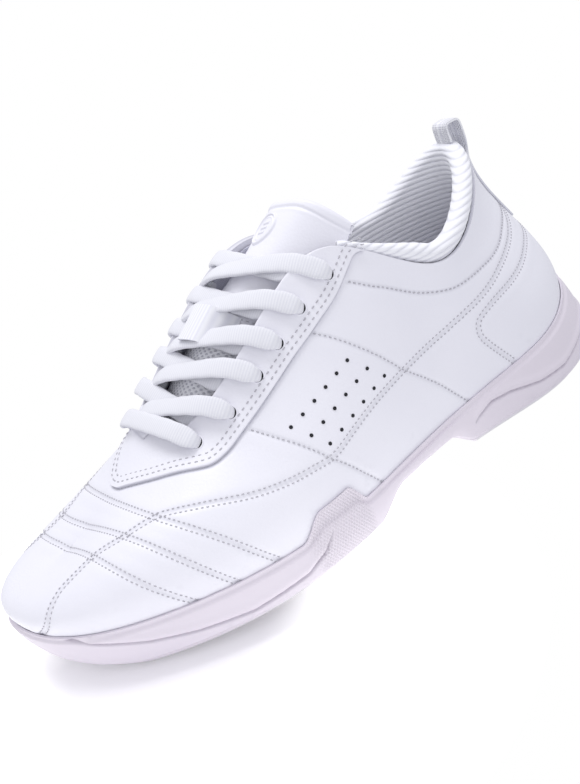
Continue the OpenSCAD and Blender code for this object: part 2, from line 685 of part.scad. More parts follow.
place() midsole();
place() forefoot_outsole();
place() heel_outsole();
place() arch_shank();
place() insole_board();
place() sockliner();
place() vamp();
place() lateral_quarter();
place() medial_quarter();
place() eyestay();
place() eyelet_reinforcement();
place() heel_panel();
place() toe_puff();
place() heel_counter();
place() vamp_lining();
place() quarter_lining();
place() collar_foam();
place() collar_roll();
place() tongue_mesh();
place() tongue_facing();
place() tongue_foam();
place() tongue_lining();
place() tongue_tip_cover();
place() tongue_tip_foam();
place() tongue_tip_lining();
place() tongue_badge();
place() lace_keeper();
place() shoelace();
place() lace_tail_lateral();
place() lace_tail_medial();
place() lateral_aglet();
place() medial_aglet();
place() heel_tape();
place() heel_pull_tab();
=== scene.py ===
import json
import math

import bpy
import numpy as np
from mathutils import Matrix, Vector


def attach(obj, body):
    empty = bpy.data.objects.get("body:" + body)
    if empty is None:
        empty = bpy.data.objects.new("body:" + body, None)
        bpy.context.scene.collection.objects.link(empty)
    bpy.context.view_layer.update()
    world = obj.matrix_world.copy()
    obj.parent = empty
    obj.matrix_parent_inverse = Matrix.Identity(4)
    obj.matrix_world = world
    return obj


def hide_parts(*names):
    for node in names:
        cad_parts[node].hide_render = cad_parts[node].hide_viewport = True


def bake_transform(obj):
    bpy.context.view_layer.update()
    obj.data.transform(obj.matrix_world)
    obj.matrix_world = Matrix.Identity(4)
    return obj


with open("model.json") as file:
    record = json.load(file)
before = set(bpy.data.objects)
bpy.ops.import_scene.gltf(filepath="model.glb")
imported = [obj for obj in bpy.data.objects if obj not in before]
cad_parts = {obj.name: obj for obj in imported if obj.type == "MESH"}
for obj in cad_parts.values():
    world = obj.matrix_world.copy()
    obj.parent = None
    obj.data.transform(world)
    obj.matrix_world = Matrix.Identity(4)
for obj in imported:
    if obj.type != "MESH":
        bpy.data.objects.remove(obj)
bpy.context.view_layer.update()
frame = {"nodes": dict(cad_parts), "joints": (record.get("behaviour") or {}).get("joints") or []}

# ---- camera ----
# A camera close over the outer side of the shoe, turned so that the toe points down to the left,
# as when a shoe is held up by its heel to show it.
AIM = Vector((-0.00145, 0.001, 0.050))
CAMERA_AWAY = 0.3141
AZIMUTH, ELEVATION, ROLL = math.radians(-19.0), math.radians(23.26), math.radians(-24.35)
back = Vector((math.sin(AZIMUTH) * math.cos(ELEVATION), -math.cos(AZIMUTH) * math.cos(ELEVATION),
               math.sin(ELEVATION)))
level = Vector((math.cos(AZIMUTH), math.sin(AZIMUTH), 0))
rise = back.cross(level)
across = level * math.cos(ROLL) + rise * math.sin(ROLL)
upward = rise * math.cos(ROLL) - level * math.sin(ROLL)
camera = bpy.data.objects.new("camera", bpy.data.cameras.new("camera"))
bpy.context.collection.objects.link(camera)
camera.matrix_world = Matrix.Translation(AIM + back * CAMERA_AWAY) @ Matrix(
    (across, upward, back)).transposed().to_4x4()
camera.data.sensor_width = 36
camera.data.lens = 38.81
camera.data.shift_y = -0.0134
camera.data.clip_start = 0.01
bpy.context.scene.camera = camera

# ---- lace ends ----
# Each end of the flat lace is tucked in beside the foot: from under the top hole down inside the
# quarter and along the footbed, gathered to a narrow round cord, with a rolled film tip.
# Shapes are worked out in millimetres in the last's own frame, which has its origin at ORIGIN.
ORIGIN, MM = np.array([1.45, -1.0, 0.0]), 1000.0
LATERAL_END = [
    [19, -22, 84], [24, -22.8, 80], [29, -23.4, 75], [33, -24, 68], [36, -24.5, 60], [40, -24.5, 50],
    [45, -24, 41], [51, -23, 33], [59, -21.5, 27], [68, -20, 24.8], [77, -18.5, 24.8],
    [86, -16.5, 25.2], [94, -13, 25.5], [100, -7.5, 25.8], [103, -1, 26], [102, 6, 26],
    [97, 11.5, 25.8], [89, 14.5, 25.5], [80, 16, 25]]
MEDIAL_END = [
    [5, 20.6, 83], [12, 21, 79], [20, 20.8, 73], [28, 20.2, 66], [36, 19.5, 58], [36, 20, 49],
    [33, 20.5, 40], [27, 21, 32], [18, 21.5, 25], [9, 21.5, 21.5], [0, 21.5, 20.3], [-9, 22, 19.3],
    [-18, 22.5, 18.6], [-27, 22.5, 18.2], [-36, 21.5, 17.8], [-44, 18, 17.8], [-49, 12, 17.8],
    [-49, 4, 17.8], [-45, -2, 17.8], [-37, -5, 17.8]]


class Wire:
    """A socket of a node tree. An expression on wires and numbers adds the Math nodes that work it out."""

    def __init__(self, tree, socket=None):
        self.tree, self.socket = tree, socket

    def node(self, kind, inputs=None, out=0, **settings):
        """Adds a node of a type: its settings first, then the values or links of its sockets. Returns
        a wire of one of its outputs, or the node itself where it has none."""
        made = self.tree.nodes.new(kind)
        for key, value in settings.items():
            setattr(made, key, value)
        for key, value in (inputs or {}).items():
            if isinstance(value, Wire):
                self.tree.links.new(value.socket, made.inputs[key])
            else:
                made.inputs[key].default_value = value
        return Wire(self.tree, made.outputs[out]) if made.outputs else made

    def math(self, operation, *values):
        """A Math node of the given operation on wires and numbers."""
        return self.node("ShaderNodeMath", dict(enumerate(values)), operation=operation)

    def __add__(self, other):
        return self.math("ADD", self, other)

    def __sub__(self, other):
        return self.math("SUBTRACT", self, other)

    def __rsub__(self, other):
        return self.math("SUBTRACT", other, self)

    def __mul__(self, other):
        return self.math("MULTIPLY", self, other)

    __radd__, __rmul__ = __add__, __mul__

    def wave(self):
        """Sine of the value, moved to the range from 0 to 1."""
        return self.math("SINE", self) * 0.5 + 0.5

    def step(self, low, high):
        """0 below low, 1 above high, and a smooth rise between."""
        return self.node("ShaderNodeMapRange", {0: self, 1: low, 2: high, 3: 0.0, 4: 1.0},
                         interpolation_type="SMOOTHSTEP")

    def mix(self, dark, light):
        """Colour from dark at 0 to light at 1; either may be a wire."""
        full = [c if isinstance(c, Wire) else (*c, 1.0) for c in (dark, light)]
        return self.node("ShaderNodeMix", {0: self, 6: full[0], 7: full[1]}, out=2, data_type="RGBA")

    def axis(self, name):
        """The X, Y or Z of a wire of coordinates."""
        return self.node("ShaderNodeSeparateXYZ", {0: self}, out="XYZ".index(name))

    def noise(self, scale, detail=2.0):
        """Soft random spots at these coordinates, scale of them to a metre."""
        return self.node("ShaderNodeTexNoise", {"Vector": self, "Scale": scale, "Detail": detail})


def material(name, rough=0.5, **constants):
    """A new material: returns it, a wire of Object coordinates, one of the UV map, and a function
    that connects a colour, a roughness or a height in metres to its shader."""
    made = bpy.data.materials.new(name)
    made.use_nodes = True
    tree = made.node_tree
    tree.nodes.clear()
    start = Wire(tree)
    shader = start.node("ShaderNodeBsdfPrincipled", {"Roughness": rough, **constants})
    start.node("ShaderNodeOutputMaterial", {"Surface": shader})
    bsdf = shader.socket.node
    place = start.node("ShaderNodeTexCoord", out=3)
    sheet = start.node("ShaderNodeTexCoord", out=2)

    def connect(colour, roughness=None, height=None, strength=1.0):
        tree.links.new(colour.socket, bsdf.inputs["Base Color"])
        if roughness:
            tree.links.new(roughness.socket, bsdf.inputs["Roughness"])
        if height:
            bump = start.node("ShaderNodeBump", {"Strength": strength, "Distance": 1.0, "Height": height})
            tree.links.new(bump.socket, bsdf.inputs["Normal"])

    return made, place, sheet, connect


def unit(a):
    """Directions brought to length 1."""
    return a / np.maximum(np.linalg.norm(a, axis=-1, keepdims=True), 1e-9)


def quads(rows, cols, around=False):
    """Faces of a grid of points, rows by columns; around joins the last column to the first."""
    i, j = np.meshgrid(np.arange(rows - 1), np.arange(cols if around else cols - 1), indexing="ij")
    k = (j + 1) % cols
    return np.stack([i * cols + j, (i + 1) * cols + j, (i + 1) * cols + k, i * cols + k], -1).reshape(-1, 4)


def make(name, points, faces, finish, body=None, stands_for=(), uv=None, merge=0.0, sharp=None,
         wall=0.0, caps=(), marks=None):
    """A piece from points in millimetres, measured in the last's own frame. caps are faces with many
    corners, merge welds points that lie together, wall gives a sheet its thickness on the inner side,
    sharp is the angle past which an edge isn't shaded smooth, and marks are named values kept at
    each point."""
    mesh = bpy.data.meshes.new(name)
    every = [tuple(f) for f in np.asarray(faces).tolist()] + [tuple(c) for c in caps]
    mesh.from_pydata(((np.asarray(points).reshape(-1, 3) - ORIGIN) / MM).tolist(), [], every)
    mesh.polygons.foreach_set("use_smooth", np.ones(len(every), bool))
    if uv is not None:
        corner = np.zeros(len(mesh.loops), np.int32)
        mesh.loops.foreach_get("vertex_index", corner)
        mesh.uv_layers.new(name="UVMap").data.foreach_set(
            "uv", np.asarray(uv).reshape(-1, 2)[corner].astype(np.float32).ravel())
    for key, values in (marks or {}).items():
        mesh.attributes.new(key, "FLOAT", "POINT").data.foreach_set(
            "value", np.asarray(values, np.float32).ravel())
    mesh.materials.append(finish)
    piece = bpy.data.objects.new(name, mesh)
    bpy.context.collection.objects.link(piece)
    if merge:
        weld = piece.modifiers.new("weld", "WELD")
        weld.merge_threshold = merge / MM
    if wall:
        solid = piece.modifiers.new("wall", "SOLIDIFY")
        solid.thickness, solid.offset = wall / MM, -1.0
    if merge or wall:
        whole = bpy.data.meshes.new_from_object(piece.evaluated_get(bpy.context.evaluated_depsgraph_get()))
        piece.modifiers.clear()
        piece.data = whole
    if sharp:
        piece.data.set_sharp_from_angle(angle=math.radians(sharp))
    if body:
        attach(piece, body)
    if stands_for:
        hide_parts(*stands_for)
    return piece


def through(points, steps):
    """Smooth curve through points, steps per span: each span is the cubic whose slopes are half
    the difference of the neighbouring points."""
    p = np.asarray(points, float)
    q = np.vstack([p[:1], p, p[-1:]])
    a, b, c, d = (q[k:len(q) - 3 + k, None] for k in range(4))
    u = (np.arange(steps) / steps)[None, :, None]
    curve = b + (c - a) / 2 * u + (a - 2.5 * b + 2 * c - d / 2) * u ** 2 \
        + (1.5 * b - a / 2 - 1.5 * c + d / 2) * u ** 3
    return np.vstack([curve.reshape(-1, p.shape[1]), p[-1:]])


def run(path):
    """Length along a path at each of its points."""
    return np.concatenate([[0], np.cumsum(np.linalg.norm(np.diff(path, axis=0), axis=-1))])


def ends(rings, sides):
    """The first and the last of a stack of rings, each as one face with many corners."""
    return [tuple(range(sides)), tuple(range((rings - 1) * sides, rings * sides))[::-1]]


def chart(along_it, around_it):
    """A UV map for a grid of points, from one value for each row and one for each column."""
    return np.stack(np.broadcast_arrays(along_it[:, None], around_it[None]), -1)


def tube(path, face, half_w, half_t, sides=16, square=1.0):
    """Flat tube along a path: each ring is an oval, squarer below 1, whose flat side turns towards
    the face directions. Returns points, faces, end caps and a UV of mm along and mm around."""
    ahead = unit(np.gradient(path, axis=0))
    side = unit(np.cross(ahead, face))
    over = np.cross(side, ahead)
    a = 2 * math.pi * (np.arange(sides) + 0.5) / sides
    c = np.sign(np.cos(a)) * np.abs(np.cos(a)) ** square
    s = np.sign(np.sin(a)) * np.abs(np.sin(a)) ** square
    half_w, half_t = (np.broadcast_to(np.asarray(h, float), len(path))[:, None, None]
                      for h in (half_w, half_t))
    rings = path[:, None] + side[:, None] * c[None, :, None] * half_w \
        + over[:, None] * s[None, :, None] * half_t
    return rings, quads(len(path), sides, True)[:, ::-1], ends(len(path), sides), chart(run(path), a * 3)


# Lace textile: close cross ribs, a little deeper between and painted greyer there as shade, with fine yarn
# noise.
lace_cloth, place, sheet, connect = material("lace_cloth", 0.75, **{"Sheen Weight": 0.25})
rib = (sheet.axis("X") * 6.6).wave()
yarn = place.noise(2600, 3)
connect(colour=(rib * 0.6 + yarn * 0.5).mix((0.70, 0.70, 0.76), (0.80, 0.80, 0.84)),
        height=rib * 0.00007 + yarn * 0.00008, strength=0.6)
film, place, _, connect = material("lace_tip_film", 0.18, **{"Coat Weight": 0.3})
connect(colour=place.noise(900).mix((0.82, 0.82, 0.86), (0.90, 0.90, 0.93)))

for name, knots, tip in (("lateral", LATERAL_END, "lateral_aglet"), ("medial", MEDIAL_END, "medial_aglet")):
    route = through(knots, 6)
    points, faces, caps, uv = tube(route, [0, 0.05, 1.0], 1.5, 0.95, 12, 0.8)
    tail = make("lace_end_" + name, points, faces, lace_cloth, "shoe",
                ["lace_tail_" + name], uv=uv, caps=caps)
    frame["nodes"][tip].data.materials.clear()
    frame["nodes"][tip].data.materials.append(film)

# ---- leather shell ----
# The lasted upper: thin smooth synthetic leather, sewn from a vamp, two quarters and a heel panel
# and pulled over the last. It sinks a little along every seam and is full between them.
# LAST has a row for each of 20 stations, from the toe round by the outer side: X, Y and Z of the foot
# edge, then of the top edge. FORM shapes the side between them, from toe to heel: the slope at the
# top in degrees, the bulge over the foot edge, and how far the low and the high end keep their way.
LAST = np.array([
    [-126, 12, 25, -96, 6, 38], [-119, -9, 23.5, -93, 5, 39.5], [-102, -26, 21.5, -86, 4, 42.5],
    [-75, -37.5, 19, -74, 2.5, 49], [-45, -43.5, 17, -57.5, -3, 56], [-15, -43, 16, -35.5, -16, 65.5],
    [13, -37.5, 16.5, -4, -19, 86], [40, -33, 18, 25, -23.5, 98], [69, -33, 22, 54.5, -33, 70.5],
    [99.5, -31, 26.5, 85.5, -22.5, 82], [125.5, 0, 33.5, 104.5, 2.5, 95], [97, 27.5, 26, 90.5, 23, 86],
    [65, 28.5, 18.5, 58, 28.5, 75.5], [37, 28, 15, 22, 20, 100.5], [11, 32, 15.5, -8, 16, 95.5],
    [-17, 38, 18, -38, 14, 75.5], [-47, 42, 20, -59, 9, 61], [-76.5, 40.5, 21.5, -74, 8, 50.5],
    [-103, 35, 23, -86, 7, 43.5], [-121, 26.5, 24, -93, 6.5, 40]])
FORM = np.array([
    [8, 4, .75, .70], [5, 5, .75, .70], [2, 5, .70, .70], [0, 4, .65, .62], [6, 3, .60, .55],
    [28, 2, .50, .45], [38, 1, .45, .40], [52, 1, .40, .35], [80, 2, .35, .35], [88, 2, .35, .35],
    [88, 2, .35, .35]])
LEATHER = 1.3
THROAT = 4.1


def closed(table):
    """Control points of the closed cubic B-spline that passes near the table's rows."""
    t = np.asarray(table, float)
    return t - (np.roll(t, 1, 0) - 2 * t + np.roll(t, -1, 0)) / 6


def along(c, t):
    """Closed cubic B-spline: four neighbouring control points with the usual cubic weights."""
    t = np.asarray(t, float) % len(c)
    i = np.floor(t).astype(int)
    f = (t - i)[..., None]
    g = 1 - f
    at = [c[(i + k) % len(c)] for k in (-1, 0, 1, 2)]
    return (at[0] * g ** 3 + at[1] * (3 * f ** 3 - 6 * f ** 2 + 4)
            + at[2] * (3 * g ** 3 - 6 * g ** 2 + 4) + at[3] * f ** 3) / 6


foot_loop, top_loop = closed(LAST[:, :3]), closed(LAST[:, 3:])
form_loop = closed([FORM[min(i, 20 - i)] for i in range(20)])


def foot(t):
    """Edge of the foot's sole at station t."""
    return along(foot_loop, t)


def sideways(t):
    """Level direction out of the shoe, square to the foot edge."""
    d = foot(np.asarray(t) + 0.01) - foot(np.asarray(t) - 0.01)
    return unit(np.stack([d[..., 1], -d[..., 0], 0 * d[..., 0]], -1))


def last(t, v):
    """Surface of the last: at station t a cubic Bezier rises from the foot edge at v = 0 to the top
    edge at v = 1, first out and up, then in along the top's slope. Below 0 it runs on straight."""
    t, v = np.broadcast_arrays(np.asarray(t, float), np.asarray(v, float))
    a, c, s = foot(t), along(top_loop, t), along(form_loop, t)
    d = c - a
    up = np.array([0, 0, 1.0])
    low = sideways(t) * s[..., 1:2] + up * (s[..., 2:3] * d[..., 2:])
    reach = s[..., 3:4] * np.linalg.norm(d, axis=-1, keepdims=True)
    slope = np.radians(s[..., 0:1])
    high = unit(d * [1, 1, 0]) * np.cos(slope) * reach + up * np.sin(slope) * reach
    v = v[..., None]
    w = 1 - v
    inside = a * w ** 3 + 3 * (a + low) * v * w ** 2 + 3 * (c - high) * v ** 2 * w + c * v ** 3
    return np.where(v < 0, a + 3 * v * low, inside)


def ramp(x, a, b):
    """0 below a, 1 above b, and between them three squares less two cubes of the way from a to b."""
    u = np.clip((np.asarray(x, float) - a) / (b - a), 0, 1)
    return u * u * (3 - 2 * u)


# The two sides as grids of stations by heights. Column TOP is the top edge, at v = 1; the ones above
# it carry the leather on to the middle line at column RIDGE, over the toe and round the throat's foot.
STEP_T, STEP_V, TOP, RIDGE = 0.025, 0.01, 110, 120
TOE_ROWS, SMOOTHINGS, THROAT_ROUND = 180, 260, 0.36
side_t = np.arange(401) * STEP_T
side_v = np.arange(-10, 121) * STEP_V
sides = [last(t[:, None], np.minimum(side_v, 1.0)[None]) for t in (side_t, 20 - side_t)]
middle = (sides[0][:, TOP] + sides[1][:, TOP]) / 2
fill = np.where(side_t < THROAT, 1.0, np.sqrt(np.clip(1 - ((side_t - THROAT) / THROAT_ROUND) ** 2, 0, 1)))
for grid in sides:
    edge = grid[:, TOP].copy()
    step = np.clip(np.arange(21) / (RIDGE - TOP), 0, 1)[None, :, None] * fill[:, None, None]
    grid[:, TOP:] = edge[:, None] + (middle - edge)[:, None] * step
# Over the toe the ridge is smoothed: each point moves to the mean of its four neighbours, again
# and again, most near the ridge and not at all low down or behind the throat.
to_ridge, from_ridge = np.s_[:TOE_ROWS, :RIDGE + 1], np.s_[:TOE_ROWS, RIDGE - 1::-1]
toe = np.concatenate([sides[0][to_ridge], sides[1][from_ridge]], 1)
height = np.concatenate([side_v[:RIDGE + 1], side_v[RIDGE - 1::-1]])
soft = ramp(height, 0.45, 0.9)[None] * (1 - ramp(side_t[:TOE_ROWS], 3.6, 4.12))[:, None]
for _ in range(SMOOTHINGS):
    before = np.concatenate([toe[1:2, ::-1], toe[:-1]], 0)
    after = np.concatenate([toe[1:], toe[-1:]], 0)
    mean = (before + after) / 4
    mean[:, 1:-1] += (toe[:, 2:] + toe[:, :-2]) / 4
    mean[:, [0, -1]] = toe[:, [0, -1]]
    toe += (mean - toe) * 0.6 * soft[..., None]
sides[0][to_ridge], sides[1][to_ridge] = toe[:, :RIDGE + 1], toe[:, :RIDGE - 1:-1]
for grid in sides:
    grid[:, RIDGE + 1:] = grid[:, RIDGE:RIDGE + 1]
# Outward directions, from the differences along and up the grids.
turn = [np.gradient(g, axis=0) for g in sides]
for k in (0, 1):
    turn[k][0] = (sides[k][1] - sides[1 - k][1]) / 2
    turn[k][-1] = (sides[1 - k][-2] - sides[k][-2]) / 2
across_toe = np.gradient(toe, axis=1)
climb = [np.gradient(g, axis=1) for g in sides]
climb[0][to_ridge], climb[1][to_ridge] = across_toe[:, :RIDGE + 1], -across_toe[:, :RIDGE - 1:-1]
normals = [unit(np.cross(turn[k], climb[k])) * (1, -1)[k] for k in (0, 1)]
open_from = int(THROAT / STEP_T) + 1
for n in normals:
    n[open_from:, TOP + 1:] = n[open_from:, TOP:TOP + 1]
    n[:, RIDGE + 1:] = n[:, RIDGE:RIDGE + 1]
both_sides, both_normals = np.stack(sides), np.stack(normals)


def upper(t, v, d=0.0):
    """Point of the upper at station t, 0 to 20 round the shoe, height v, and distance d outside
    the last, read from the side grids by linear steps. Returns the point and the outward direction."""
    t, v, d = np.broadcast_arrays(np.asarray(t, float), np.asarray(v, float), np.asarray(d, float))
    t = t % 20
    far = t > 10
    x = np.where(far, 20 - t, t) / STEP_T
    y = (np.clip(v, -0.1, 1.2) + 0.1) / STEP_V
    i, j = np.minimum(x.astype(int), 399), np.minimum(y.astype(int), 129)
    f, g = (x - i)[..., None], (y - j)[..., None]
    k = far.astype(int)
    p, n = ((q[k, i, j] * (1 - f) + q[k, i + 1, j] * f) * (1 - g)
            + (q[k, i, j + 1] * (1 - f) + q[k, i + 1, j + 1] * f) * g for q in (both_sides, both_normals))
    n = unit(n)
    return p + n * d[..., None], n


TWO_SIDES = (("outer", False), ("inner", True))
# Seams, as station and height from the toe back along the outer side; the inner side has the same.
SEAMS = {
    "curved_seam": ([[0.98, 0.0], [1.28, .175], [1.48, .485], [1.68, .61], [2.16, .70], [2.74, .675],
                     [3.2, .65], [3.38, .62], [3.72, .54], [4.18, .435], [4.58, .375], [4.94, .335],
                     [5.2, .305], [5.56, .315], [5.9, .32], [6.54, .32], [7.0, .35], [7.4, .42],
                     [7.74, .515], [8.0, .585], [8.28, .625], [8.66, .635], [8.92, .625], [9.24, .61],
                     [9.6, .615], [10.0, .62]], 2),
    "collar_seam": ([[6.68, .80], [6.92, .72], [7.34, .695], [7.88, .77], [8.24, .785], [8.52, .76],
                     [8.74, .72], [8.98, .69], [9.22, .68], [9.68, .65], [10.0, .645]], 1),
    "heel_seam": ([[10.0, .45], [9.62, .45], [9.28, .468], [9.02, .48], [8.78, .50], [8.44, .53],
                   [8.2, .515], [8.0, .465], [7.9, .39], [7.88, .315], [7.96, .19], [8.12, .01]], 2),
    "waist_seam": ([[6.0, .775], [6.22, .555], [6.5, .36], [6.64, .295], [7.02, .155], [7.32, .005]], 1),
    "ball_seam": ([[4.88, .75], [4.96, .58], [5.14, .33], [5.2, .275], [5.4, .125], [5.6, .01]], 1),
}
# Three double seams run right over the toe, from the sole on one side to the sole on the other.
TOE_BANDS = (
    [[4.04, .01], [3.62, .33], [3.2, .65], [2.75, 1.015], [17.33, .91], [17.2, .60],
     [16.9, .33], [16.5, .01]],
    [[3.56, 0], [3.15, .34], [2.74, .675], [18.15, .91], [17.88, .685], [17.5, .34],
     [17.05, 0]],
    [[3.08, 0], [2.62, .36], [2.16, .70], [18.83, .845], [18.3, .60], [17.95, .3],
     [17.6, 0]])
# The lower edge of the eyestay, which the leather sinks along too.
STAY_EDGE = [[3.0, 1.1], [3.06, 1.02], [3.2, .97], [3.54, .875], [3.88, .80], [4.1, .745], [4.26, .722],
             [4.5, .735], [4.86, .772], [5.22, .788], [5.7, .79], [6.02, .782], [6.44, .79], [6.8, .85],
             [7.12, .945], [7.3, 1.0]]


def on_side(t, inner):
    """Stations of the outer side, or the ones that mirror them on the inner side."""
    return 20 - t if inner else t


def read_at(places, known, line):
    """A line's points at new places along it, read by straight steps between the known ones."""
    return np.stack([np.interp(places, known, line[:, k]) for k in range(3)], -1)


def seam(knots, inner, d=0.0):
    """Points and outward directions every 0.2 mm along a seam, on either side of the shoe."""
    curve = through(knots, 24)
    p, n = upper(on_side(curve[:, 0], inner), curve[:, 1], d)
    s = run(p)
    fine = np.arange(0, s[-1], 0.2)
    return read_at(fine, s, p), unit(read_at(fine, s, n))


def rows_of(p, n, count, apart=1.9):
    """The same seam as one or two rows of sewing, side by side on the surface."""
    beside = unit(np.cross(n, np.gradient(p, axis=0)))
    offsets = [0.0] if count == 1 else [-apart / 2, apart / 2]
    return [(p + beside * o, n) for o in offsets]


def nearest_of(flat, line):
    """Distance from each point to the nearest point of a line, and which one that is."""
    gap, which = np.zeros(len(flat)), np.zeros(len(flat), int)
    for start in range(0, len(flat), 4000):
        part = flat[start:start + 4000]
        square = (part ** 2).sum(1)[:, None] + (line ** 2).sum(1)[None] - 2 * part @ line.T
        which[start:start + 4000] = square.argmin(1)
        gap[start:start + 4000] = np.sqrt(np.maximum(square.min(1), 0))
    return gap, which


def smoothed(line, reach):
    """A line's points averaged over the given number of neighbours on either side."""
    return np.stack([np.convolve(np.pad(line[:, k], reach, "reflect", reflect_type="odd"),
                                 np.ones(2 * reach + 1) / (2 * reach + 1), "valid") for k in range(3)], -1)


# Each band is a smooth curve in space through its places, laid down on the nearest of the toe's
# points along their outward directions, and read every 0.2 mm.
band_lines = []
toe_t = np.concatenate([side_t[:172], 20 - side_t[1:172]])
toe_points, toe_ups = (q.reshape(-1, 3) for q in upper(toe_t[:, None], side_v[None, 10:121]))
for knots in TOE_BANDS:
    free = through(upper(*np.array(knots).T)[0], 30)
    s = run(free)
    laid = smoothed(read_at(np.arange(0, s[-1], 0.4), s, free), 28)
    for reach in (4, 2):
        which = nearest_of(laid, toe_points)[1]
        up = smoothed(toe_ups[which], 10)
        laid = smoothed(laid - up * ((laid - toe_points[which]) * up).sum(1, keepdims=True), reach)
    known = np.arange(len(laid))
    fine = np.arange(0, len(laid) - 1, 0.5)
    band_lines.append((read_at(fine, known, laid), unit(read_at(fine, known, up))))

# Fine pores over the grain, faintly cloudy, and scuffs low down. Painted shade greys the leather in the
# seams, where it sinks, and through the edge mark beside and on the eyestay's edge, along the top edge and
# round the badge's rim.
leather, place, _, connect = material("white_leather", 0.42, **{"Specular IOR Level": 0.45})
cells = place.node("ShaderNodeTexVoronoi", {"Vector": place, "Scale": 1150.0}, feature="SMOOTH_F1")
pores = place.noise(3800, 4)
cloud = place.noise(38, 3)
scuff = place.noise(160, 5).step(0.60, 0.78) * (1 - place.axis("Z").step(0.022, 0.040))
# The crease and edge marks paint shade: the leather goes grey along the seams and where the edge mark is set;
# the scuffs are wear.
crease = place.node("ShaderNodeAttribute", out=2, attribute_name="crease")
tread_cut_and_edge_shade = place.node("ShaderNodeAttribute", out=2, attribute_name="tread_cut_and_edge_shade")
groove = crease.step(1.7, 3.0)
shade_and_scuff = tread_cut_and_edge_shade.step(0.35, 1.0) * 0.55 + groove * 0.10 + scuff * 0.10
connect(colour=shade_and_scuff.mix(cloud.mix((0.80, 0.793, 0.86), (0.85, 0.843, 0.90)), (0.33, 0.33, 0.39)),
        roughness=cloud * 0.10 + pores * 0.12 + 0.32,
        height=cells * 0.00007 + pores * 0.00004 - groove * 0.00016 - tread_cut_and_edge_shade * 0.00010, strength=0.6)

for side, inner in TWO_SIDES:
    lines = [(seam(a, inner)[0][::3], c) for a, c in SEAMS.values()] + [(p[::3], 2) for p, _ in band_lines]
    seam_line = np.vstack([p for p, _ in lines])
    widths = np.concatenate([np.full(len(p), 1.15 if c == 2 else 0.7) for p, c in lines])
    stay_line = seam(STAY_EDGE, inner)[0][::3]
    grid, n = upper(on_side(side_t, inner)[:, None], side_v[None, 4:121])
    flat = grid.reshape(-1, 3)
    gap, which = nearest_of(flat, seam_line)
    stay_gap = nearest_of(flat, stay_line)[0]
    dip = 0.34 * np.exp(-(gap / widths[which]) ** 2) - 0.10 * np.exp(-((gap - 3.2) / 2.0) ** 2) \
        + 0.35 * np.exp(-(stay_gap / 1.0) ** 2)
    points = flat - n.reshape(-1, 3) * dip[:, None]
    # Painted shade through the edge mark: a grey band beside the eyestay's lower edge, within 1.3 mm, and a
    # weaker one along the top edge behind the throat.
    rim = np.broadcast_to(ramp(side_v[4:121], 0.985, 1.0), grid.shape[:2]) * (side_t > THROAT)[:, None]
    faces = quads(*grid.shape[:2])
    make("leather_" + side + "_side", points,
         faces[:, ::-1] if inner else faces, leather, "shoe",
         ["medial_quarter", "heel_panel"] if inner else ["vamp", "lateral_quarter"],
         merge=0.02, wall=LEATHER, sharp=50,
         marks={"crease": np.clip(3 - gap, 0, 3),
                "tread_cut_and_edge_shade": np.maximum(np.clip(1 - stay_gap / 1.3, 0, 1), rim.ravel() * 0.7)})

# ---- eyestay ----
# A second layer of leather round the throat with the lace holes punched through it, cut with a
# clean edge that stands up over the quarters, and sewn down by two rows.
OVERLAY = 1.1
HOLES = [4.44, 4.98, 5.42, 5.76, 6.14, 6.6]
HOLE_HEIGHT, INNER_SHIFT = 0.88, 0.42


def stay_edge(t):
    """Height of the eyestay's lower edge at station t, read from its smooth curve."""
    curve = through(STAY_EDGE, 12)
    return np.interp(t, curve[:, 0], curve[:, 1])


# Stations of the eyestay from its front tip back, with some more just behind the tip.
stay_t = 3.0 + np.concatenate([np.arange(173) * STEP_T, np.arange(9) * 0.008])
stay_t = np.unique(np.round(stay_t, 4))
low_v = stay_edge(stay_t)
high_v = np.where(stay_t < THROAT + THROAT_ROUND, 1.1, 1.0)
bevel_f = np.concatenate([[0, 0, 0.004, 0.016, 0.04], np.linspace(0.08, 0.94, 30), [0.975, 0.993, 1, 1]])
bevel_d = np.array([-0.3, 0.72, 0.95, 1.06] + [OVERLAY] * 31 + [1.08, 0.95, 0.7, -0.2])
for side, inner in TWO_SIDES:
    v = low_v[:, None] + (high_v - low_v)[:, None] * bevel_f[None]
    closed_in = (stay_t < THROAT)[:, None]
    d = np.where(closed_in & (bevel_f > 0.9)[None], OVERLAY, bevel_d[None])
    points, _ = upper(on_side(stay_t, inner)[:, None], v, d)
    faces = quads(*points.shape[:2])
    # Painted shade: the bevelled edge, where it stands below full thickness, is greyed by the edge mark.
    bevel_shade = np.broadcast_to(1 - ramp(d, 0.5 * OVERLAY, 0.97 * OVERLAY), v.shape)
    make("eyestay_" + side, points, faces[:, ::-1] if inner else faces, leather,
         "shoe", () if inner else ["eyestay"], merge=0.02, wall=0.5, sharp=60,
         marks={"tread_cut_and_edge_shade": bevel_shade, "crease": 0 * bevel_shade})

# ---- sewing ----
# Lock stitches of heavy polyester thread, 1.8 mm apart in the seams and 2.4 mm along the eyestay,
# each sunk at both ends in its needle hole. The white thread is coloured grey, darker still in the
# grooves of its twist: painted shade for the needle holes and the thread's own shadow, so that the
# rows read as grey dashes on the leather.
thread, place, _, connect = material("sewing_thread", 0.7)
twist = (place.axis("X") * 9000.0 + place.axis("Z") * 9000.0).wave()
connect(colour=twist.mix((0.40, 0.39, 0.43), (0.60, 0.59, 0.63)), height=twist * 0.00005, strength=0.6)


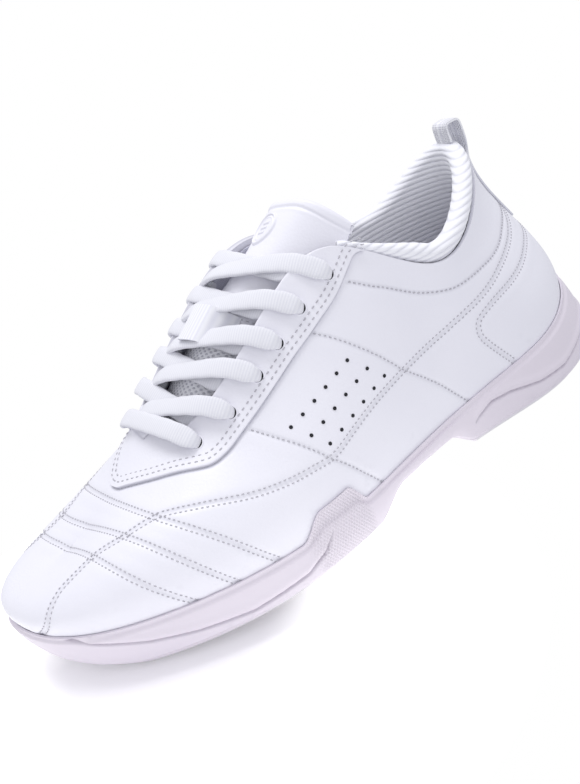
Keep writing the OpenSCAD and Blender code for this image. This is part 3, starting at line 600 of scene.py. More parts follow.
def stitches(rows, pitch=2.4, long=1.5, thick=0.27, sink=0.12):
    """Small thread bodies along rows of sewing: at each pitch a six-sided spindle, highest in its
    middle and sunk at its ends."""
    u = np.array([-1, -0.72, 0, 0.72, 1])
    fat = np.array([0.25, 0.8, 1, 0.8, 0.25])
    rise_up = np.array([-0.35, -0.02, 0.08, -0.02, -0.35])
    a = np.arange(6) * math.pi / 3
    ring_faces = quads(5, 6, True)[:, ::-1]
    points, faces, count = [], [], 0
    for p, n in rows:
        s = run(p)
        at = np.interp(np.arange(pitch / 2, s[-1], pitch), s, np.arange(len(p))).astype(int)
        ahead = unit(np.gradient(p, axis=0))[at]
        up = n[at]
        beside = np.cross(up, ahead)
        middle_of = p[at] - up * sink
        body = (middle_of[:, None, None] + ahead[:, None, None] * (u * long / 2)[None, :, None, None]
                + beside[:, None, None] * (fat[:, None] * np.cos(a) * thick)[None, :, :, None]
                + up[:, None, None] * (fat[:, None] * np.sin(a) * thick + rise_up[:, None])[None, :, :, None])
        points.append(body.reshape(-1, 3))
        each = np.arange(len(at))[:, None, None] * 30 + count
        faces.append((ring_faces[None] + each).reshape(-1, 4))
        count += len(at) * 30
    return np.vstack(points), np.vstack(faces)


for side, inner in TWO_SIDES:
    sewn = [row for a, c in SEAMS.values() for row in rows_of(*seam(a, inner), c)]
    if not inner:
        sewn += [row for p, n in band_lines for row in rows_of(p, n, 2)]
    p, n = seam(STAY_EDGE, inner, OVERLAY + 0.12)
    toward = unit(np.cross(n, np.gradient(p, axis=0))) * (-1 if inner else 1)
    points, faces = stitches(sewn, 1.8, 1.1, 0.25)
    heavy, heavy_faces = stitches([(p + toward * inset, n) for inset in (2.0, 4.2)])
    points, faces = np.vstack([points, heavy]), np.vstack([faces, heavy_faces + len(points)])
    make("stitches_" + side, points, faces, thread, "shoe")

# ---- punched holes ----
# Ventilation holes in the outer and inner quarter, three slanting rows of six, and six lace holes
# a side, each lace hole with a pressed rim. Each hole is a shallow dark disc on the surface: painted
# shadow where the opening would be.
dark, place, _, connect = material("hole_shadow", 0.9)
connect(colour=place.noise(700).mix((0.008, 0.008, 0.010), (0.022, 0.022, 0.028)))


def circles(ups, corners):
    """Directions round each of some outward directions, square to it: one circle for each."""
    a = np.arange(corners) * 2 * math.pi / corners
    x = unit(np.cross(ups, [0.3, 0.1, 1.0]))
    return x[:, None] * np.cos(a)[None, :, None] + np.cross(ups, x)[:, None] * np.sin(a)[None, :, None]


def discs(centres, ups, radius, corners=14):
    """Shallow dished discs on a surface, one for each centre: a rim ring, a middle ring and a floor."""
    spokes = circles(ups, corners)
    points = np.stack([centres[:, None] + spokes * radius * r + ups[:, None] * drop
                       for r, drop in ((1.0, 0.03), (0.8, 0.02), (0.02, 0.015))], 1)
    each = np.arange(len(centres))[:, None, None] * 3 * corners
    return points.reshape(-1, 3), (quads(3, corners, True)[None, :, ::-1] + each).reshape(-1, 4)


def rims(centres, ups, radius, half_w, half_t, corners=32, sides=8):
    """Flat rings on a surface, one round each centre: an oval of half_w by half_t carried round it."""
    spokes = circles(ups, corners)
    b = np.arange(sides) * 2 * math.pi / sides
    points = centres[:, None, None] + ups[:, None, None] * (half_t * np.sin(b))[None, None, :, None] \
        + spokes[:, :, None] * (radius + half_w * np.cos(b))[None, None, :, None]
    i, j = np.meshgrid(np.arange(corners) * sides, np.arange(sides), indexing="ij")
    after, beside = (i + sides) % (corners * sides), (j + 1) % sides
    one = np.stack([i + j, after + j, after + beside, i + beside], -1).reshape(-1, 4)
    each = np.arange(len(centres))[:, None, None] * corners * sides
    return points, (one[None] + each).reshape(-1, 4)


# The first and the last hole of each row, as station and height.
VENT_ROWS = [([6.02, .565], [5.12, .595]), ([6.14, .46], [5.18, .48]), ([6.28, .37], [5.26, .37])]
vent_at = np.vstack([np.linspace(a, b, 6) for a, b in VENT_ROWS])
lace_at = np.array(HOLES)
for side, inner in TWO_SIDES:
    c, n = upper(on_side(vent_at[:, 0], inner), vent_at[:, 1], 0.16)
    points, faces = discs(c, n, 0.68)
    make("vent_holes_" + side, points, faces[:, ::-1], dark, "shoe", merge=0.005)
    c, n = upper(on_side(lace_at, inner) + INNER_SHIFT * inner, HOLE_HEIGHT, OVERLAY + 0.04)
    points, faces = discs(c, n, 2.15, 24)
    make("lace_holes_" + side, points, faces[:, ::-1], dark, "shoe", merge=0.005)
    points, faces = rims(c, n, 2.35, 0.32, 0.2)
    make("lace_hole_rims_" + side, points, faces, leather, "shoe")

# ---- collar and lining ----
# Ribbed stretch cloth: rolled over soft foam along the top line, then down the inside of the
# quarters to the footbed. Its ribs lie level, so they sweep round the heel like contour lines.
# RIB is from one rib to the next, COLLAR_PAD the foam behind the lining at the top, and LINING_IN
# how far the lining's face lies below the leather's where there is no foam.
ROLL_R, RIB = 3.7, 2.0
COLLAR_PAD, LINING_IN = 4.2, 3.7


def bed(x):
    """Height of the footbed along the shoe."""
    return np.interp(x, [-135, -118, -105, -90, -75, -60, -40, -20, 0, 20, 40, 60, 80, 100, 135],
                     [17, 15, 13, 11.3, 10.3, 9.8, 9.8, 10.3, 11.5, 13, 14.7, 16.2, 17.4, 18.2, 19])


def bottom_v(t, clear=0.4):
    """Height v at which the side of the last meets the footbed, clear of it by a little."""
    a, s = foot(t), along(form_loop, t)
    return (bed(a[..., 0]) + clear - a[..., 2]) / (3 * s[..., 2] * (along(top_loop, t)[..., 2] - a[..., 2]))


def from_toe(t):
    """Stations from the toe, on either side."""
    return np.minimum(t, 20 - t)


def pad(t, v):
    """Thickness of the foam behind the lining: a ramp backwards times a ramp upwards."""
    return COLLAR_PAD * ramp(from_toe(t), 6.2, 7.6) * ramp(v, 0.25, 0.75)


ribbed, place, _, connect = material("ribbed_collar_cloth", 0.85, **{"Sheen Weight": 0.3})
furrow = (place.axis("Z") * (2000.0 * math.pi / RIB)).wave()
knit = place.noise(2400, 3)
depth = furrow.math("POWER", furrow, 0.45)
# Painted shade: the cloth is greyer down in each furrow between the ribs.
connect(colour=(depth * 0.85 + knit * 0.15).mix((0.76, 0.76, 0.83), (0.92, 0.92, 0.955)),
        height=depth * 0.00030 + knit * 0.00008, strength=0.8)

t = np.linspace(7.05, 12.95, 330)
edge, out = upper(t, 1.0)
ahead = unit(np.gradient(edge, axis=0))
up = unit(np.cross(out, ahead))
r = (ROLL_R * (0.35 + 0.65 * ramp(from_toe(t), 7.2, 7.9)))[:, None]
core = edge - out * (r + 0.2) + up * (r - 0.7)
angle = np.radians(np.linspace(-75, 175, 34))
roll = core[:, None] + r[:, None] * (out[:, None] * np.cos(angle)[None, :, None]
                                     + up[:, None] * np.sin(angle)[None, :, None])
foot_v = bottom_v(t)[:, None] * 0.9
wall_v = foot_v + (0.9 - foot_v) * np.linspace(1, 0, 90)[None]
wall, _ = upper(t[:, None], wall_v, -LINING_IN - pad(t[:, None], wall_v))
a, b = roll[:, -1], wall[:, 0]
hang = unit(wall[:, 1] - wall[:, 0]) * np.linalg.norm(b - a, axis=-1, keepdims=True) * 0.45
u = np.linspace(0, 1, 12)[None, 1:-1, None]
bridge = (a[:, None] * (1 - u) ** 3 + 3 * (a[:, None] - up[:, None] * 1.2) * u * (1 - u) ** 2
          + 3 * (b - hang)[:, None] * u ** 2 * (1 - u) + b[:, None] * u ** 3)
cloth = np.concatenate([roll, bridge, wall], 1)
face_out = unit(np.cross(np.gradient(cloth, axis=0), np.gradient(cloth, axis=1)))
groove = 0.5 + 0.5 * np.sin(2 * math.pi * (cloth[..., 2] - ORIGIN[2]) / RIB)
deep = 0.10 + 0.18 * ramp(np.arange(cloth.shape[1]), 26, 46)
cloth = cloth - face_out * (deep * (1 - groove ** 0.45))[..., None]
piece = make("collar_cloth", cloth, quads(*cloth.shape[:2]), ribbed, "shoe",
             ["collar_roll", "quarter_lining"], wall=0.5)

plain, place, _, connect = material("plain_lining", 0.85, **{"Sheen Weight": 0.2})
weave = (place.axis("X") * 9000.0).wave() * (place.axis("Z") * 9000.0).wave()
# Painted shade: the weave is darker in its hollows.
connect(colour=weave.mix((0.55, 0.55, 0.64), (0.74, 0.74, 0.82)), height=weave * 0.0001, strength=0.6)
t = np.linspace(4.13, 7.1, 100)
top = (0.77 + 0.19 * ramp(t, 6.9, 7.4))[:, None]
u = np.linspace(0, 1, 50)[None]
for side, inner in TWO_SIDES:
    v = bottom_v(on_side(t, inner))[:, None] * (1 - u) + top * u
    points, _ = upper(on_side(t, inner)[:, None], v, -LINING_IN - pad(t[:, None], v))
    faces = quads(*points.shape[:2])
    make("forepart_lining_" + side, points, faces if inner else faces[:, ::-1], plain,
         "shoe", wall=0.5)

# ---- tongue ----
# One soft padded piece: open mesh low down, smooth leather above, a ribbed lining behind and a
# rolled edge at the top.
# X and Z of the tongue's middle line, from under the vamp up to its top.
TONGUE_LONG = 105
TONGUE = np.array([[-66, 45], [-58, 51.5], [-46, 62.5], [-33, 73], [-20, 82], [-8, 90], [4, 97.5],
                   [13, 102.5], [21, 107.5], [26, 110.5]])


def tongue_mid(s):
    """Middle line of the tongue at length s from 0 to 1, along X and Z, by straight steps."""
    u = np.asarray(s, float) * (len(TONGUE) - 1)
    x = np.arange(len(TONGUE))
    return np.stack([np.interp(u, x, TONGUE[:, 0]), np.interp(u, x, TONGUE[:, 1])], -1)


def tongue(s, w, d=0.0):
    """Outer face of the tongue at length s, side w from -1 to 1 and distance d outwards: its middle
    line is the table, and its wings drop away with a power of w."""
    s, w, d = np.broadcast_arrays(np.asarray(s, float), np.asarray(w, float), np.asarray(d, float))
    s = s - 0.06 * ramp(-w, 0.3, 1.05) * ramp(s, 0.8, 1)
    m = sum(tongue_mid(np.clip(s + k, 0, 1)) for k in (-0.04, -0.02, 0, 0.02, 0.04)) / 5
    g = unit(tongue_mid(np.minimum(1, s + 0.08)) - tongue_mid(np.maximum(0, s - 0.08)))
    up = np.stack([-g[..., 1], 0 * s, g[..., 0]], -1)
    reach = np.where(w < 0, 20.5, 16.0 + 1.5 * (1 - ramp(s, 0.58, 0.72))) - 5 * (1 - ramp(s, 0, 0.35))
    y = reach * w
    drop = 14 + 5 * ramp(s, 0, 0.3) - 3 * ramp(s, 0.5, 0.7) - 2 * ramp(s, 0.75, 1)
    drop = drop * np.where(w > 0, 1 - 0.65 * (1 - ramp(s, 0.52, 0.68)), 1)
    fall = drop * np.abs(w) ** (2 + ramp(s, 0.5, 1)) - w * ramp(s, 0, 0.3) * (1 - 0.7 * ramp(s, 0.7, 1))
    base = np.stack([m[..., 0] - 0.3 * y, 0.5 + y, m[..., 1]], -1)
    return base + up * (d - fall)[..., None]


def joint_place(name):
    """Where a joint's axis is, in metres."""
    return np.array(next(j["pos_m"] for j in frame["joints"] if j["name"] == name))


quilt, place, sheet, connect = material("tongue_lining_cloth", 0.85, **{"Sheen Weight": 0.3})
knit = place.noise(2200, 3)
line = (sheet.axis("X") * 3.0).wave()
# Painted shade: the lining is darker down in its quilted lines.
connect(colour=(line * 0.6 + knit * 0.4).mix((0.52, 0.52, 0.62), (0.84, 0.84, 0.90)),
        height=line * 0.0002 + knit * 0.00008, strength=0.7)
s = np.linspace(0.02, 0.992, 150)
w = np.linspace(-0.965, 0.965, 60)
puff = np.sqrt(np.clip(1 - (np.abs(w) / 0.985) ** 6, 0.03, 1))[None] * np.sqrt(
    np.clip(1 - ((s - 0.5) / 0.495) ** 30, 0.03, 1))[:, None]
top = tongue(s[:, None], w[None], -0.95)
low = tongue(s[:, None], w[None], -0.95 - 3.9 * puff)
ring = np.concatenate([top, low[:, ::-1]], 1)
n = ring.shape[1]
piece = make("tongue_padding", ring, quads(len(s), n, True)[:, ::-1], quilt, None,
             ["tongue_foam", "tongue_lining", "tongue_tip_foam", "tongue_tip_lining"],
             uv=chart(s * TONGUE_LONG, np.linspace(0, 90, n)), caps=ends(len(s), n), sharp=60)
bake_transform(piece)

net, place, sheet, connect = material("tongue_net", 0.7)
slant = sheet.axis("X") * 4.4, sheet.axis("Y") * 2.8
hole = ((slant[0] + slant[1]).wave() * (slant[0] - slant[1]).wave()).step(0.30, 0.62)
yarn = place.noise(2600)
# The net's holes are not cut: they are coloured darker as painted shade, and the yarn between them is raised
# by a bump.
connect(colour=hole.mix((0.88, 0.88, 0.92), (0.60, 0.60, 0.66)), roughness=hole * 0.2 + 0.65,
        height=(1 - hole) * 0.0005 + yarn * 0.00006, strength=0.9)
s = np.linspace(0.02, 0.505, 70)
w = np.linspace(-1, 1, 50)
make("tongue_net_panel", tongue(s[:, None], w[None], 0.0), quads(len(s), len(w)), net,
     "shoe", ["tongue_mesh"], uv=chart(s * TONGUE_LONG, w * 20), wall=0.8)

s = np.linspace(0.49, 1.0, 110)
w = np.linspace(-1, 1, 70)
swell = 0.35 * ramp(s, 0.90, 0.97)
hem = 0.5 * np.exp(-((s - 0.945) / 0.012) ** 2)
face = tongue(s[:, None], w[None], (0.12 + swell - hem)[:, None])
around = np.radians(np.linspace(0, 180, 12))[1:]
end = tongue(1.0, w, 0.0)
full = np.sqrt(np.clip(1 - np.abs(w) ** 9, 0.02, 1))[:, None]
inward = unit(tongue(1.0, w, -1.0) - end) * full
forward = unit(end - tongue(0.97, w, 0.0)) * full
lip = (end + inward * 2.3)[None] + forward[None] * (1.6 * np.sin(around))[:, None, None] \
    - inward[None] * (2.7 * np.cos(around))[:, None, None]
behind = np.stack([tongue(q, w, -4.9 * full[:, 0]) for q in (0.985, 0.965, 0.94)])
cover = np.concatenate([face, lip, behind])
piece = make("tongue_leather", cover, quads(len(cover), len(w)), leather, None,
             ["tongue_facing", "tongue_tip_cover"], wall=0.8, sharp=60)
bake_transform(piece)


def on_tongue(s, w, d):
    """A row of sewing on the tongue: its points and outward directions."""
    p = tongue(s, w, d)
    return p, unit(tongue(s, w, d + 1.0) - p)


w = np.linspace(-0.9, 0.9, 400)
points, faces = stitches([on_tongue(s, w, 0.25) for s in (0.515, 0.50)], long=1.6)
make("tongue_seam_stitches", points, faces, thread, "shoe")

# ---- tongue badge ----
# An oval pressed into the tongue's leather below its hem: a raised rim, a second thinner one, a
# sunk field and a plain mark of three slanting bars.
a = np.linspace(-1, 1, 90)
x, y = np.meshgrid(a, a, indexing="ij")
u, q = x * np.sqrt(1 - y ** 2 / 2), y * np.sqrt(1 - x ** 2 / 2)
r = np.hypot(u, q)
rim = np.exp(-((r - 0.86) / 0.075) ** 2)
inner_rim = 0.5 * np.exp(-((r - 0.66) / 0.05) ** 2)
bars = sum(ramp(0.085 - np.abs(u - k * 0.27 + 0.15 * q), 0, 0.05) * ramp(0.30 - np.abs(q), 0, 0.06)
           for k in (-1, 0, 1))
lift = 0.22 + 0.62 * rim + 0.5 * inner_rim + 0.45 * bars - 0.5 * ramp(r, 0.95, 1.0)
points = tongue(0.825 + 0.085 * u, 0.12 + 0.28 * q, lift)
# The edge mark paints shade on the flanks of the raised rim.
piece = make("tongue_mark", points, quads(*points.shape[:2]), leather, None,
             ["tongue_badge"], wall=0.3, marks={"tread_cut_and_edge_shade": 0.5 * ramp(rim, 0.1, 0.4) * (1 - rim) * 2})
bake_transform(piece)

# ---- lace keeper ----
# A short band of ribbed webbing sewn to the tongue at both its ends, which stands up in the
# middle so that the lace runs through below it and holds the tongue straight.
w = np.linspace(-0.42, 0.42, 60)
s = np.linspace(0.405, 0.505, 14)
lift = 0.55 + 7.0 * (1 - ramp(np.abs(w), 0.20, 0.40))
points = tongue(s[:, None], w[None], lift[None])
band, _, sheet, connect = material("keeper_band", 0.6)
line = (sheet.axis("Y") * 5.0).wave()
# Painted shade: the band is darker between its ribs.
connect(colour=line.mix((0.78, 0.78, 0.85), (0.90, 0.90, 0.94)), height=line * 0.00012, strength=0.6)
make("lace_keeper_band", points, quads(len(s), len(w)), band, "shoe", ["lace_keeper"],
     uv=chart(s * TONGUE_LONG, w * 20), wall=0.9, sharp=60)

# ---- laces ----
# A flat tubular lace, puffy and cross ribbed, in a criss-cross: one strand from each outer hole
# over to the inner edge, and one below it from the outer edge up to the inner hole.
# CROWN is how high the strands stand at each pair of holes, from the toe up.
CROWN = [6.5, 9, 10.5, 11, 11.5, 13]
BAR_D = OVERLAY + 1.7


def strand(start, end, rise_by, side_d, tuck, bow=1):
    """A strand between two places of the throat: the ends dive in their holes or under the edge,
    and the middle stands above the straight line between them by a flat-topped power curve, whose
    height goes from rise_by[0] at the start to rise_by[1] at the end."""
    (ta, va), (tb, vb) = start, end
    pa, na = upper(ta, va, 0.0)
    pb, nb = upper(tb, vb, 0.0)
    u = np.linspace(0, 1, 60)[:, None]
    crown = 1 - np.abs(2 * u - 1) ** 4.5
    line = (pa + na * side_d[0]) * (1 - u) + (pb + nb * side_d[1]) * u \
        + np.array([-0.45, 0, 0.9]) * (rise_by[0] + (rise_by[1] - rise_by[0]) * u ** bow) * crown
    dive_a = pa + na * np.linspace(tuck[0], side_d[0], 6)[:-1, None]
    dive_b = pb + nb * np.linspace(side_d[1], tuck[1], 6)[1:, None]
    path = np.vstack([dive_a, line, dive_b])
    path = through(path[::3], 8)
    k = np.linspace(0, 1, len(path))[:, None]
    over = unit(np.array([-0.5, 0, 0.86]))
    away = unit(pa - pb)
    face = np.where(k < 0.5, na * (1 - 2 * k) + over * 2 * k, nb * (2 * k - 1) + over * (2 - 2 * k))
    dive = ramp(0.05 - k, 0, 0.05)
    dive_end = ramp(k - 0.95, 0, 0.05)
    face = unit(face + away * dive * 2 - away * dive_end * 2)
    s = run(path)
    end_gap = np.minimum(s, s[-1] - s)
    wide = 3.5 * (0.5 + 0.5 * ramp(end_gap, 1.0, 6.5)) * (1 + 0.02 * np.sin(s * 0.9))
    thick = 1.15 + 0.25 * (1 - ramp(end_gap, 1, 7))
    ribs = 0.045 * np.sin(s * 2 * math.pi / 0.95)
    return tube(path, face, wide + ribs, thick + ribs, 22, 0.72)


# The lowest strand is a plain bar from hole to hole. Above it each pair of holes has two strands.
IN_HOLE, UNDER_EDGE, EDGE_HEIGHT = -0.8, -4.0, 0.985
strands = [strand((HOLES[0], HOLE_HEIGHT), (20 - HOLES[0] + INNER_SHIFT, HOLE_HEIGHT),
                  (CROWN[0] * 0.8, CROWN[0]), (BAR_D, BAR_D), (IN_HOLE, IN_HOLE))]
for below, h, high in zip(HOLES, HOLES[1:], CROWN[1:]):
    between = below * 0.45 + h * 0.55
    strands.append(strand((h, HOLE_HEIGHT), (20 - between + INNER_SHIFT, EDGE_HEIGHT),
                          (high * 0.66, high * 0.42), (BAR_D, -0.5), (IN_HOLE, UNDER_EDGE)))
    strands.append(strand((between, EDGE_HEIGHT), (20 - h + INNER_SHIFT, HOLE_HEIGHT),
                          (high * 0.24, high), (-1.0, BAR_D + 1.2), (UNDER_EDGE, IN_HOLE), 1.4))
points, faces, caps, uv, count = [], [], [], [], 0
for p, f, c, m in strands:
    points.append(p.reshape(-1, 3))
    faces.append(f + count)
    caps += [tuple(i + count for i in cap) for cap in c]
    uv.append(m.reshape(-1, 2))
    count += len(points[-1])
make("lace", np.vstack(points), np.vstack(faces), lace_cloth, "shoe", ["shoelace"],
     uv=np.vstack(uv), caps=caps, sharp=70)

# ---- sole unit ----
# A moulded foam cup sole: a lip cupped round the upper, a full wall with a pressed line along the
# forefoot and the heel, a lifted waist, and a knurled grip swelling up at the waist on both sides.
# FLARE is how far the sole's lower edge stands out from the foot edge, at each station.
FLARE = closed([[f] for f in (-2, -2.5, -2, .5, 2, .5, 0, 0, 1, 2, 9, 2, 1, 1, .5, .5, .5, .5, -1, -2)])
TREAD, LIP = 2.8, 1.7


def spring(x):
    """Lift of the sole under the toe: a power of the length past the ball of the foot."""
    return 6 * (np.maximum(0, -95 - x) / 25) ** 1.6


def arch(x):
    """1 at the waist, and 0 under the forefoot and the heel."""
    return ramp(x, -6, 10) * (1 - ramp(x, 36, 48))


def edge_at(t, out, z):
    """Point beside the foot edge: out millimetres from it, at height z."""
    p = foot(t) + sideways(t) * np.asarray(out)[..., None]
    return np.stack([p[..., 0], p[..., 1], np.broadcast_to(z, p.shape[:-1])], -1)


def loaf(stack, below=24, above=24):
    """Closed solid from rings of points stacked upwards: the wall joins the rings, and the first
    and last are closed by straight strips from one side of the shoe to the other, of that many
    points each. Returns points and faces."""
    k, n = stack.shape[:2]
    half = n // 2
    wall = quads(k, n, True)[:, ::-1]
    points, faces, count = [stack.reshape(-1, 3)], [wall], k * n
    for ring, between, turned in ((stack[0], below, -1), (stack[-1], above, 1)):
        left, right = ring[:half + 1], ring[::-1][:half + 1]
        u = np.linspace(0, 1, between)[None, :, None]
        faces.append((quads(half + 1, between) + count)[:, ::turned])
        points.append((left[:, None] * (1 - u) + right[:, None] * u).reshape(-1, 3))
        count += len(points[-1])
    return np.vstack(points), np.vstack(faces)


sole, place, _, connect = material("moulded_foam", 0.55, **{"Specular IOR Level": 0.4})
pebble = place.noise(1900, 3)
tone = place.noise(30, 2)
waist = place.axis("X").step(-0.037, -0.031) * (1 - place.axis("X").step(-0.011, -0.007))
knurl = (place.axis("X") * 5200.0 + place.axis("Z") * 3000.0).wave() * (
    place.axis("X") * 5200.0 - place.axis("Z") * 3000.0).wave()
soil = (1 - place.axis("Z").step(0.003, 0.011)) * place.noise(240, 5).step(0.52, 0.75)
foam = tone.mix((0.72, 0.668, 0.742), (0.77, 0.718, 0.785))
pressed = place.node("ShaderNodeAttribute", out=2, attribute_name="crease").step(2.2, 3.0)
# The colour goes grey in patches low down, which is soil, and along the pressed lines, which is painted shade
# in their grooves.
connect(colour=(soil * 0.25 + pressed * 0.65).mix(foam, (0.50, 0.47, 0.53)), roughness=tone * 0.12 + 0.48,
        height=pebble * 0.00006 + knurl * waist * 0.0005 - pressed * 0.0003, strength=0.6)

t = np.linspace(-10, 10, 801)
x, _, foot_z = foot(t).T
low = along(FLARE, t)[:, 0]
base_z = TREAD + 0.2 + spring(x) + 7.5 * arch(x)
heel_run = ramp(from_toe(t % 20), 9, 10)
# The grip's swell lifts the lip and pushes the wall out where the waist begins.
swell = ramp(x, -35, -24) * (1 - ramp(x, -12, -6))
q = np.linspace(0, 1, 44)[None]
z = base_z[:, None] + (foot_z[:, None] - 0.9 - base_z[:, None]) * q + (4.5 * swell)[:, None] * q ** 2
out = (low - 1.6)[:, None] * (1 - ramp(q, 0, 0.16)) + ramp(q, 0, 0.16) * (
    low[:, None] * (1 - q) + LIP * q + (0.9 + heel_run)[:, None] * np.sin(math.pi * q) * 0.9)
out = out - 0.9 * ramp(q, 0.93, 1.0) + (0.9 * swell)[:, None] * np.sin(math.pi * q)
# The pressed lines, as length and height, each with the stretch of the shoe that it runs along.
line_x = np.array([-122, -111, -106, -91, -76, -58, -37, -29, -20])
line_z = np.array([26, 21.5, 18.8, 13.2, 9.6, 7, 8, 11.5, 20])
heel_x = np.array([44, 50, 57, 66, 80, 93, 104, 118, 132])
heel_z = np.array([9, 12.5, 15, 14.2, 10.5, 9.5, 12, 15, 16])
line_gap = np.full(z.shape, 9.0)
for xs, zs, span in ((line_x, line_z, (-116, -23)), (heel_x, heel_z, (47, 140))):
    target = np.interp(x, xs, zs)[:, None]
    on = (ramp(x, span[0], span[0] + 6) * (1 - ramp(x, span[1] - 5, span[1])))[:, None]
    out = out - 1.0 * np.exp(-((z - target) / 0.55) ** 2) * on \
        + 0.6 * np.exp(-((z - target - 2.2) / 1.5) ** 2) * on
    line_gap = np.where(on > 0.02, np.minimum(line_gap, np.abs(z - target)), line_gap)
side_wall = edge_at(t[:, None], out, z)
lip_top, _ = upper(t[:, None], 0.012 + 0.115 * swell[:, None] * np.array([[1.0, 0.98]]),
                   np.array([[0.95, 0.25]]))
inside, _ = upper(t[:, None], np.stack([np.full(len(t), -0.01), bottom_v(t) * 0.6], -1), 0.1)
rings = np.concatenate([side_wall, lip_top, inside], 1).transpose(1, 0, 2)
points, faces = loaf(rings)
pressed = np.zeros(len(points))
pressed[:z.size] = np.clip(3 - line_gap, 0, 3).T.ravel()
make("cup_sole", points, faces, sole, "shoe", ["midsole"], merge=0.02, sharp=55,
     marks={"crease": pressed})

# ---- outsole pads ----
# Two thin rubber pads glued under the forefoot and the heel, each cut with a herringbone tread
# inside a plain rim; the waist between them is bare foam.
HERRING, ZIG, GROOVE_PITCH, GROOVE_DEEP = 9.0, 7.0, 5.2, 1.5
ACROSS = 150
rubber, place, _, connect = material("outsole_rubber", 0.6)
grit = place.noise(1400, 4)
worn = place.noise(60, 4).step(0.5, 0.7)
connect(colour=(worn * 0.5 + grit * 0.3).mix((0.80, 0.78, 0.82), (0.66, 0.64, 0.66)),
        roughness=grit * 0.2 + 0.5, height=grit * 0.00006, strength=0.7)
for name, first, final, node in (("forefoot_pad", -5.35, 5.45, "forefoot_outsole"),
                                 ("heel_pad", 7.3, 12.65, "heel_outsole")):
    t = np.linspace(first, final, 241)
    low = along(FLARE, t)[:, 0]
    x = foot(t)[:, 0]
    rings = np.stack([edge_at(t, low - inset, z + spring(x)) for inset, z in (
        (6.2, 0.0), (5.0, 0.15), (4.1, 0.6), (2.4, 2.4), (2.1, TREAD), (3.0, TREAD + 0.15))])
    points, faces = loaf(rings, ACROSS, 6)
    half = len(t) // 2 + 1
    tread = points[rings.size // 3:][:half * ACROSS].reshape(half, ACROSS, 3)
    along_x, across_y = tread[..., 0], tread[..., 1]
    zig = np.abs((across_y / HERRING) % 2 - 1) * ZIG
    tread_cut_and_edge_shade = ramp(np.sin((along_x + zig) * 2 * math.pi / GROOVE_PITCH), 0.15, 0.6)
    u = np.linspace(0, 1, ACROSS)[None]
    rim_gap = np.minimum(u, 1 - u) * np.linalg.norm(tread[:, -1] - tread[:, 0], axis=-1)[:, None]
    end_gap = np.minimum(along_x - along_x.min(), along_x.max() - along_x)
    tread[..., 2] += GROOVE_DEEP * tread_cut_and_edge_shade * ramp(np.minimum(rim_gap, end_gap), 2.5, 3.5)
    make(name, points, faces, rubber, "shoe", [node], merge=0.02, sharp=40)

# ---- inner sole ----
# A loose moulded foam inner sole with knitted cloth on top, dished a little at its rim. It lies
# on the footbed and can be lifted out.
knitted, place, _, connect = material("inner_sole_cloth", 0.9, **{"Sheen Weight": 0.2})
loops = (place.axis("X") * 5000.0).wave() * (place.axis("Y") * 3600.0).wave()
# Painted shade: the cloth is darker in the hollows between its loops.
connect(colour=loops.mix((0.60, 0.60, 0.68), (0.78, 0.78, 0.84)), height=loops * 0.0002, strength=0.7)
t = np.linspace(-10, 10, 401)
edge = last(t, bottom_v(t))
rings = []
for gap, h in ((5.9, 1.5), (5.5, 1.9), (5.5, 3.9), (5.9, 4.7), (6.8, 5.0)):
    x, y, _ = (edge - sideways(t) * gap).T
    rings.append(np.stack([x, y, bed(x) + h], -1))
points, faces = loaf(np.stack(rings), 30, 30)
make("inner_sole", points, faces, knitted, "shoe", ["sockliner"], merge=0.02, sharp=50)

# ---- heel webbing ----
# One length of ribbed webbing: up the back seam of the heel, over the collar roll in a loop to pull
# the shoe on by, and down into the roll at the front.
web, _, sheet, connect = material("ribbed_webbing", 0.65, **{"Sheen Weight": 0.2})
line = (sheet.axis("Y") * 5.2).wave()
pick = (sheet.axis("X") * 9.0).wave()
# Painted shade: the webbing is darker between its ribs and picks.
connect(colour=(line * 0.7 + pick * 0.3).mix((0.66, 0.66, 0.73), (0.92, 0.92, 0.95)),
        height=line * 0.0003 + pick * 0.0001, strength=0.8)
turn_at = joint_place("pull_tab_flex")
tape, _ = upper(10.0, np.linspace(0.46, 0.965, 16), 0.9)
loop = turn_at * MM + ORIGIN + np.array([
    [5.2, 0, 0.2], [5.1, 0, 3.5], [4.9, 0, 6.6], [4.5, 0, 8.6], [3.4, 0, 9.5], [1.0, 0, 9.6],
    [-0.9, 0, 9.4], [-1.6, 0, 8.4], [-1.75, 0, 6.4], [-1.7, 0, 4.2], [-1.6, 0, 2.6]])
path = through(np.vstack([tape, loop]), 8)
width = 4.5 * (0.62 + 0.38 * ramp(run(path), 25, 45))
face = unit(np.cross([0, 1.0, 0], unit(np.gradient(path, axis=0))))
points, faces, caps, uv = tube(path, face, width, 0.68, 24, 0.55)
uv[..., 1] = np.cos((np.arange(24) + 0.5) * 2 * math.pi / 24)[None] * width[:, None]
piece = make("heel_webbing", points, faces, web, None, ["heel_tape", "heel_pull_tab"],
             uv=uv, caps=caps, sharp=60)
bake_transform(piece)

# ---- inner stiffeners and padding ----
# Pieces that only show at a cut edge: fibre board, plastic shank, heat-formed toe puff and heel
# counter, the strip behind the lace holes, the vamp's lining and the collar's foam.
board, place, _, connect = material("fibre_board", 0.85)
fibre = place.noise(800, 5)
connect(colour=fibre.mix((0.50, 0.45, 0.38), (0.72, 0.67, 0.58)), height=fibre * 0.0001, strength=0.5)
plastic, place, _, connect = material("shank_plastic", 0.4)
fine = place.noise(1500, 2)
connect(colour=fine.mix((0.05, 0.05, 0.055), (0.09, 0.09, 0.095)), height=fine * 0.00004, strength=0.4)
sponge, place, _, connect = material("collar_sponge", 0.95)
pit = place.node("ShaderNodeTexVoronoi", {"Vector": place, "Scale": 1400.0})
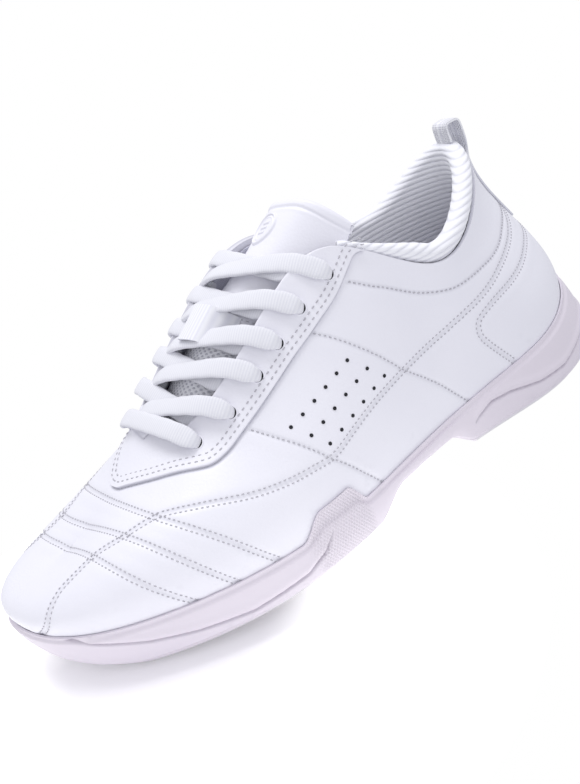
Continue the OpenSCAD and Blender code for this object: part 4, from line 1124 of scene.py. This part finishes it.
# Painted shade: the sponge is darker down in its pits.
connect(colour=pit.mix((0.62, 0.60, 0.50), (0.86, 0.84, 0.72)), height=pit * 0.0003, strength=0.6)
for node, finish in (("insole_board", board), ("toe_puff", board), ("heel_counter", board),
                     ("eyelet_reinforcement", plain), ("arch_shank", plastic), ("vamp_lining", plain),
                     ("collar_foam", sponge)):
    mesh = frame["nodes"][node].data
    mesh.materials.clear()
    mesh.materials.append(finish)

# ---- floor and light ----
# A round white card under the toe alone, tipped as the shoe is held, heel up. It glows, which is
# painted light: faintly near the toe and fully a short way out, where it goes over to pure white, so
# that only the soft shadow of the toe shows on it. It can't be seen from below. A soft light stands
# above and a wide one in front, in a pale room.
CARD_TIP, CARD_R, CARD_SIDES = math.radians(6), 0.13, 64
AMBIENT = 0.78
upright = Vector((math.sin(CARD_TIP), 0.0, math.cos(CARD_TIP)))
t = np.linspace(-4, 4, 161)
under = (edge_at(t, np.full(len(t), -4.0), spring(foot(t)[:, 0])) - ORIGIN) / MM
touch = min((Vector(c) for c in under), key=lambda c: c.dot(upright)) - upright * 0.0006
centre = Vector((-0.085, -0.012, 0.0))
centre -= upright * (centre - touch).dot(upright)
east = upright.orthogonal().normalized()
north = upright.cross(east)
turns = np.arange(CARD_SIDES) * 2 * math.pi / CARD_SIDES
floor_mesh = bpy.data.meshes.new("floor")
floor_mesh.from_pydata([tuple(centre + (east * math.cos(k) + north * math.sin(k)) * CARD_R) for k in turns],
                       [], [tuple(range(CARD_SIDES))])
floor = bpy.data.objects.new("floor", floor_mesh)
bpy.context.collection.objects.link(floor)
card, place, _, connect = material("glowing_white_card", 0.9, **{"Emission Strength": 1.0})
away = place.node("ShaderNodeVectorMath", {0: place, 1: centre}, out=1, operation="DISTANCE")
away = away.step(0.036, 0.068)
connect(colour=away.mix((0.92, 0.91, 0.93), (0.5, 0.5, 0.5)))
tree = card.node_tree
shader, output = tree.nodes["Principled BSDF"], tree.nodes["Material Output"]
# Painted light: the card glows at 0.12 near the toe and 1.0 further out, while its own colour goes from 0.92
# to 0.5.
tree.links.new(away.mix((0.12, 0.12, 0.12), (1.0, 1.0, 1.0)).socket, shader.inputs["Emission Color"])
below = place.node("ShaderNodeNewGeometry", out="Backfacing")
clear = place.node("ShaderNodeBsdfTransparent")
one_sided = place.node("ShaderNodeMixShader", {0: below, 1: Wire(tree, shader.outputs[0]), 2: clear})
tree.links.new(one_sided.socket, output.inputs["Surface"])
floor_mesh.materials.append(card)

world = bpy.data.worlds.new("studio")
world.use_nodes = True
world.node_tree.nodes.clear()
air = Wire(world.node_tree)
seen = air.node("ShaderNodeLightPath", out="Is Camera Ray")
glow = air.node("ShaderNodeBackground", {
    "Color": seen.mix((0.94, 0.95, 1.0), (1.0, 1.0, 1.0)), "Strength": seen * (1.0 - AMBIENT) + AMBIENT})
air.node("ShaderNodeOutputWorld", {"Surface": glow})
bpy.context.scene.world = world
bpy.context.scene.view_settings.view_transform = "Standard"
for name, stand, size, power in (("key_light", upward * 0.80 + back * 0.25 - across * 0.35, 0.45, 4.0),
                                 ("fill_light", back * 0.8 + upward * 0.1 + across * 0.3, 0.9, 0.9)):
    lamp = bpy.data.objects.new(name, bpy.data.lights.new(name, "AREA"))
    lamp.data.size, lamp.data.energy = size, power
    bpy.context.collection.objects.link(lamp)
    lamp.location = AIM + stand
    lamp.rotation_mode = "QUATERNION"
    lamp.rotation_quaternion = stand.to_track_quat("Z", "Y")
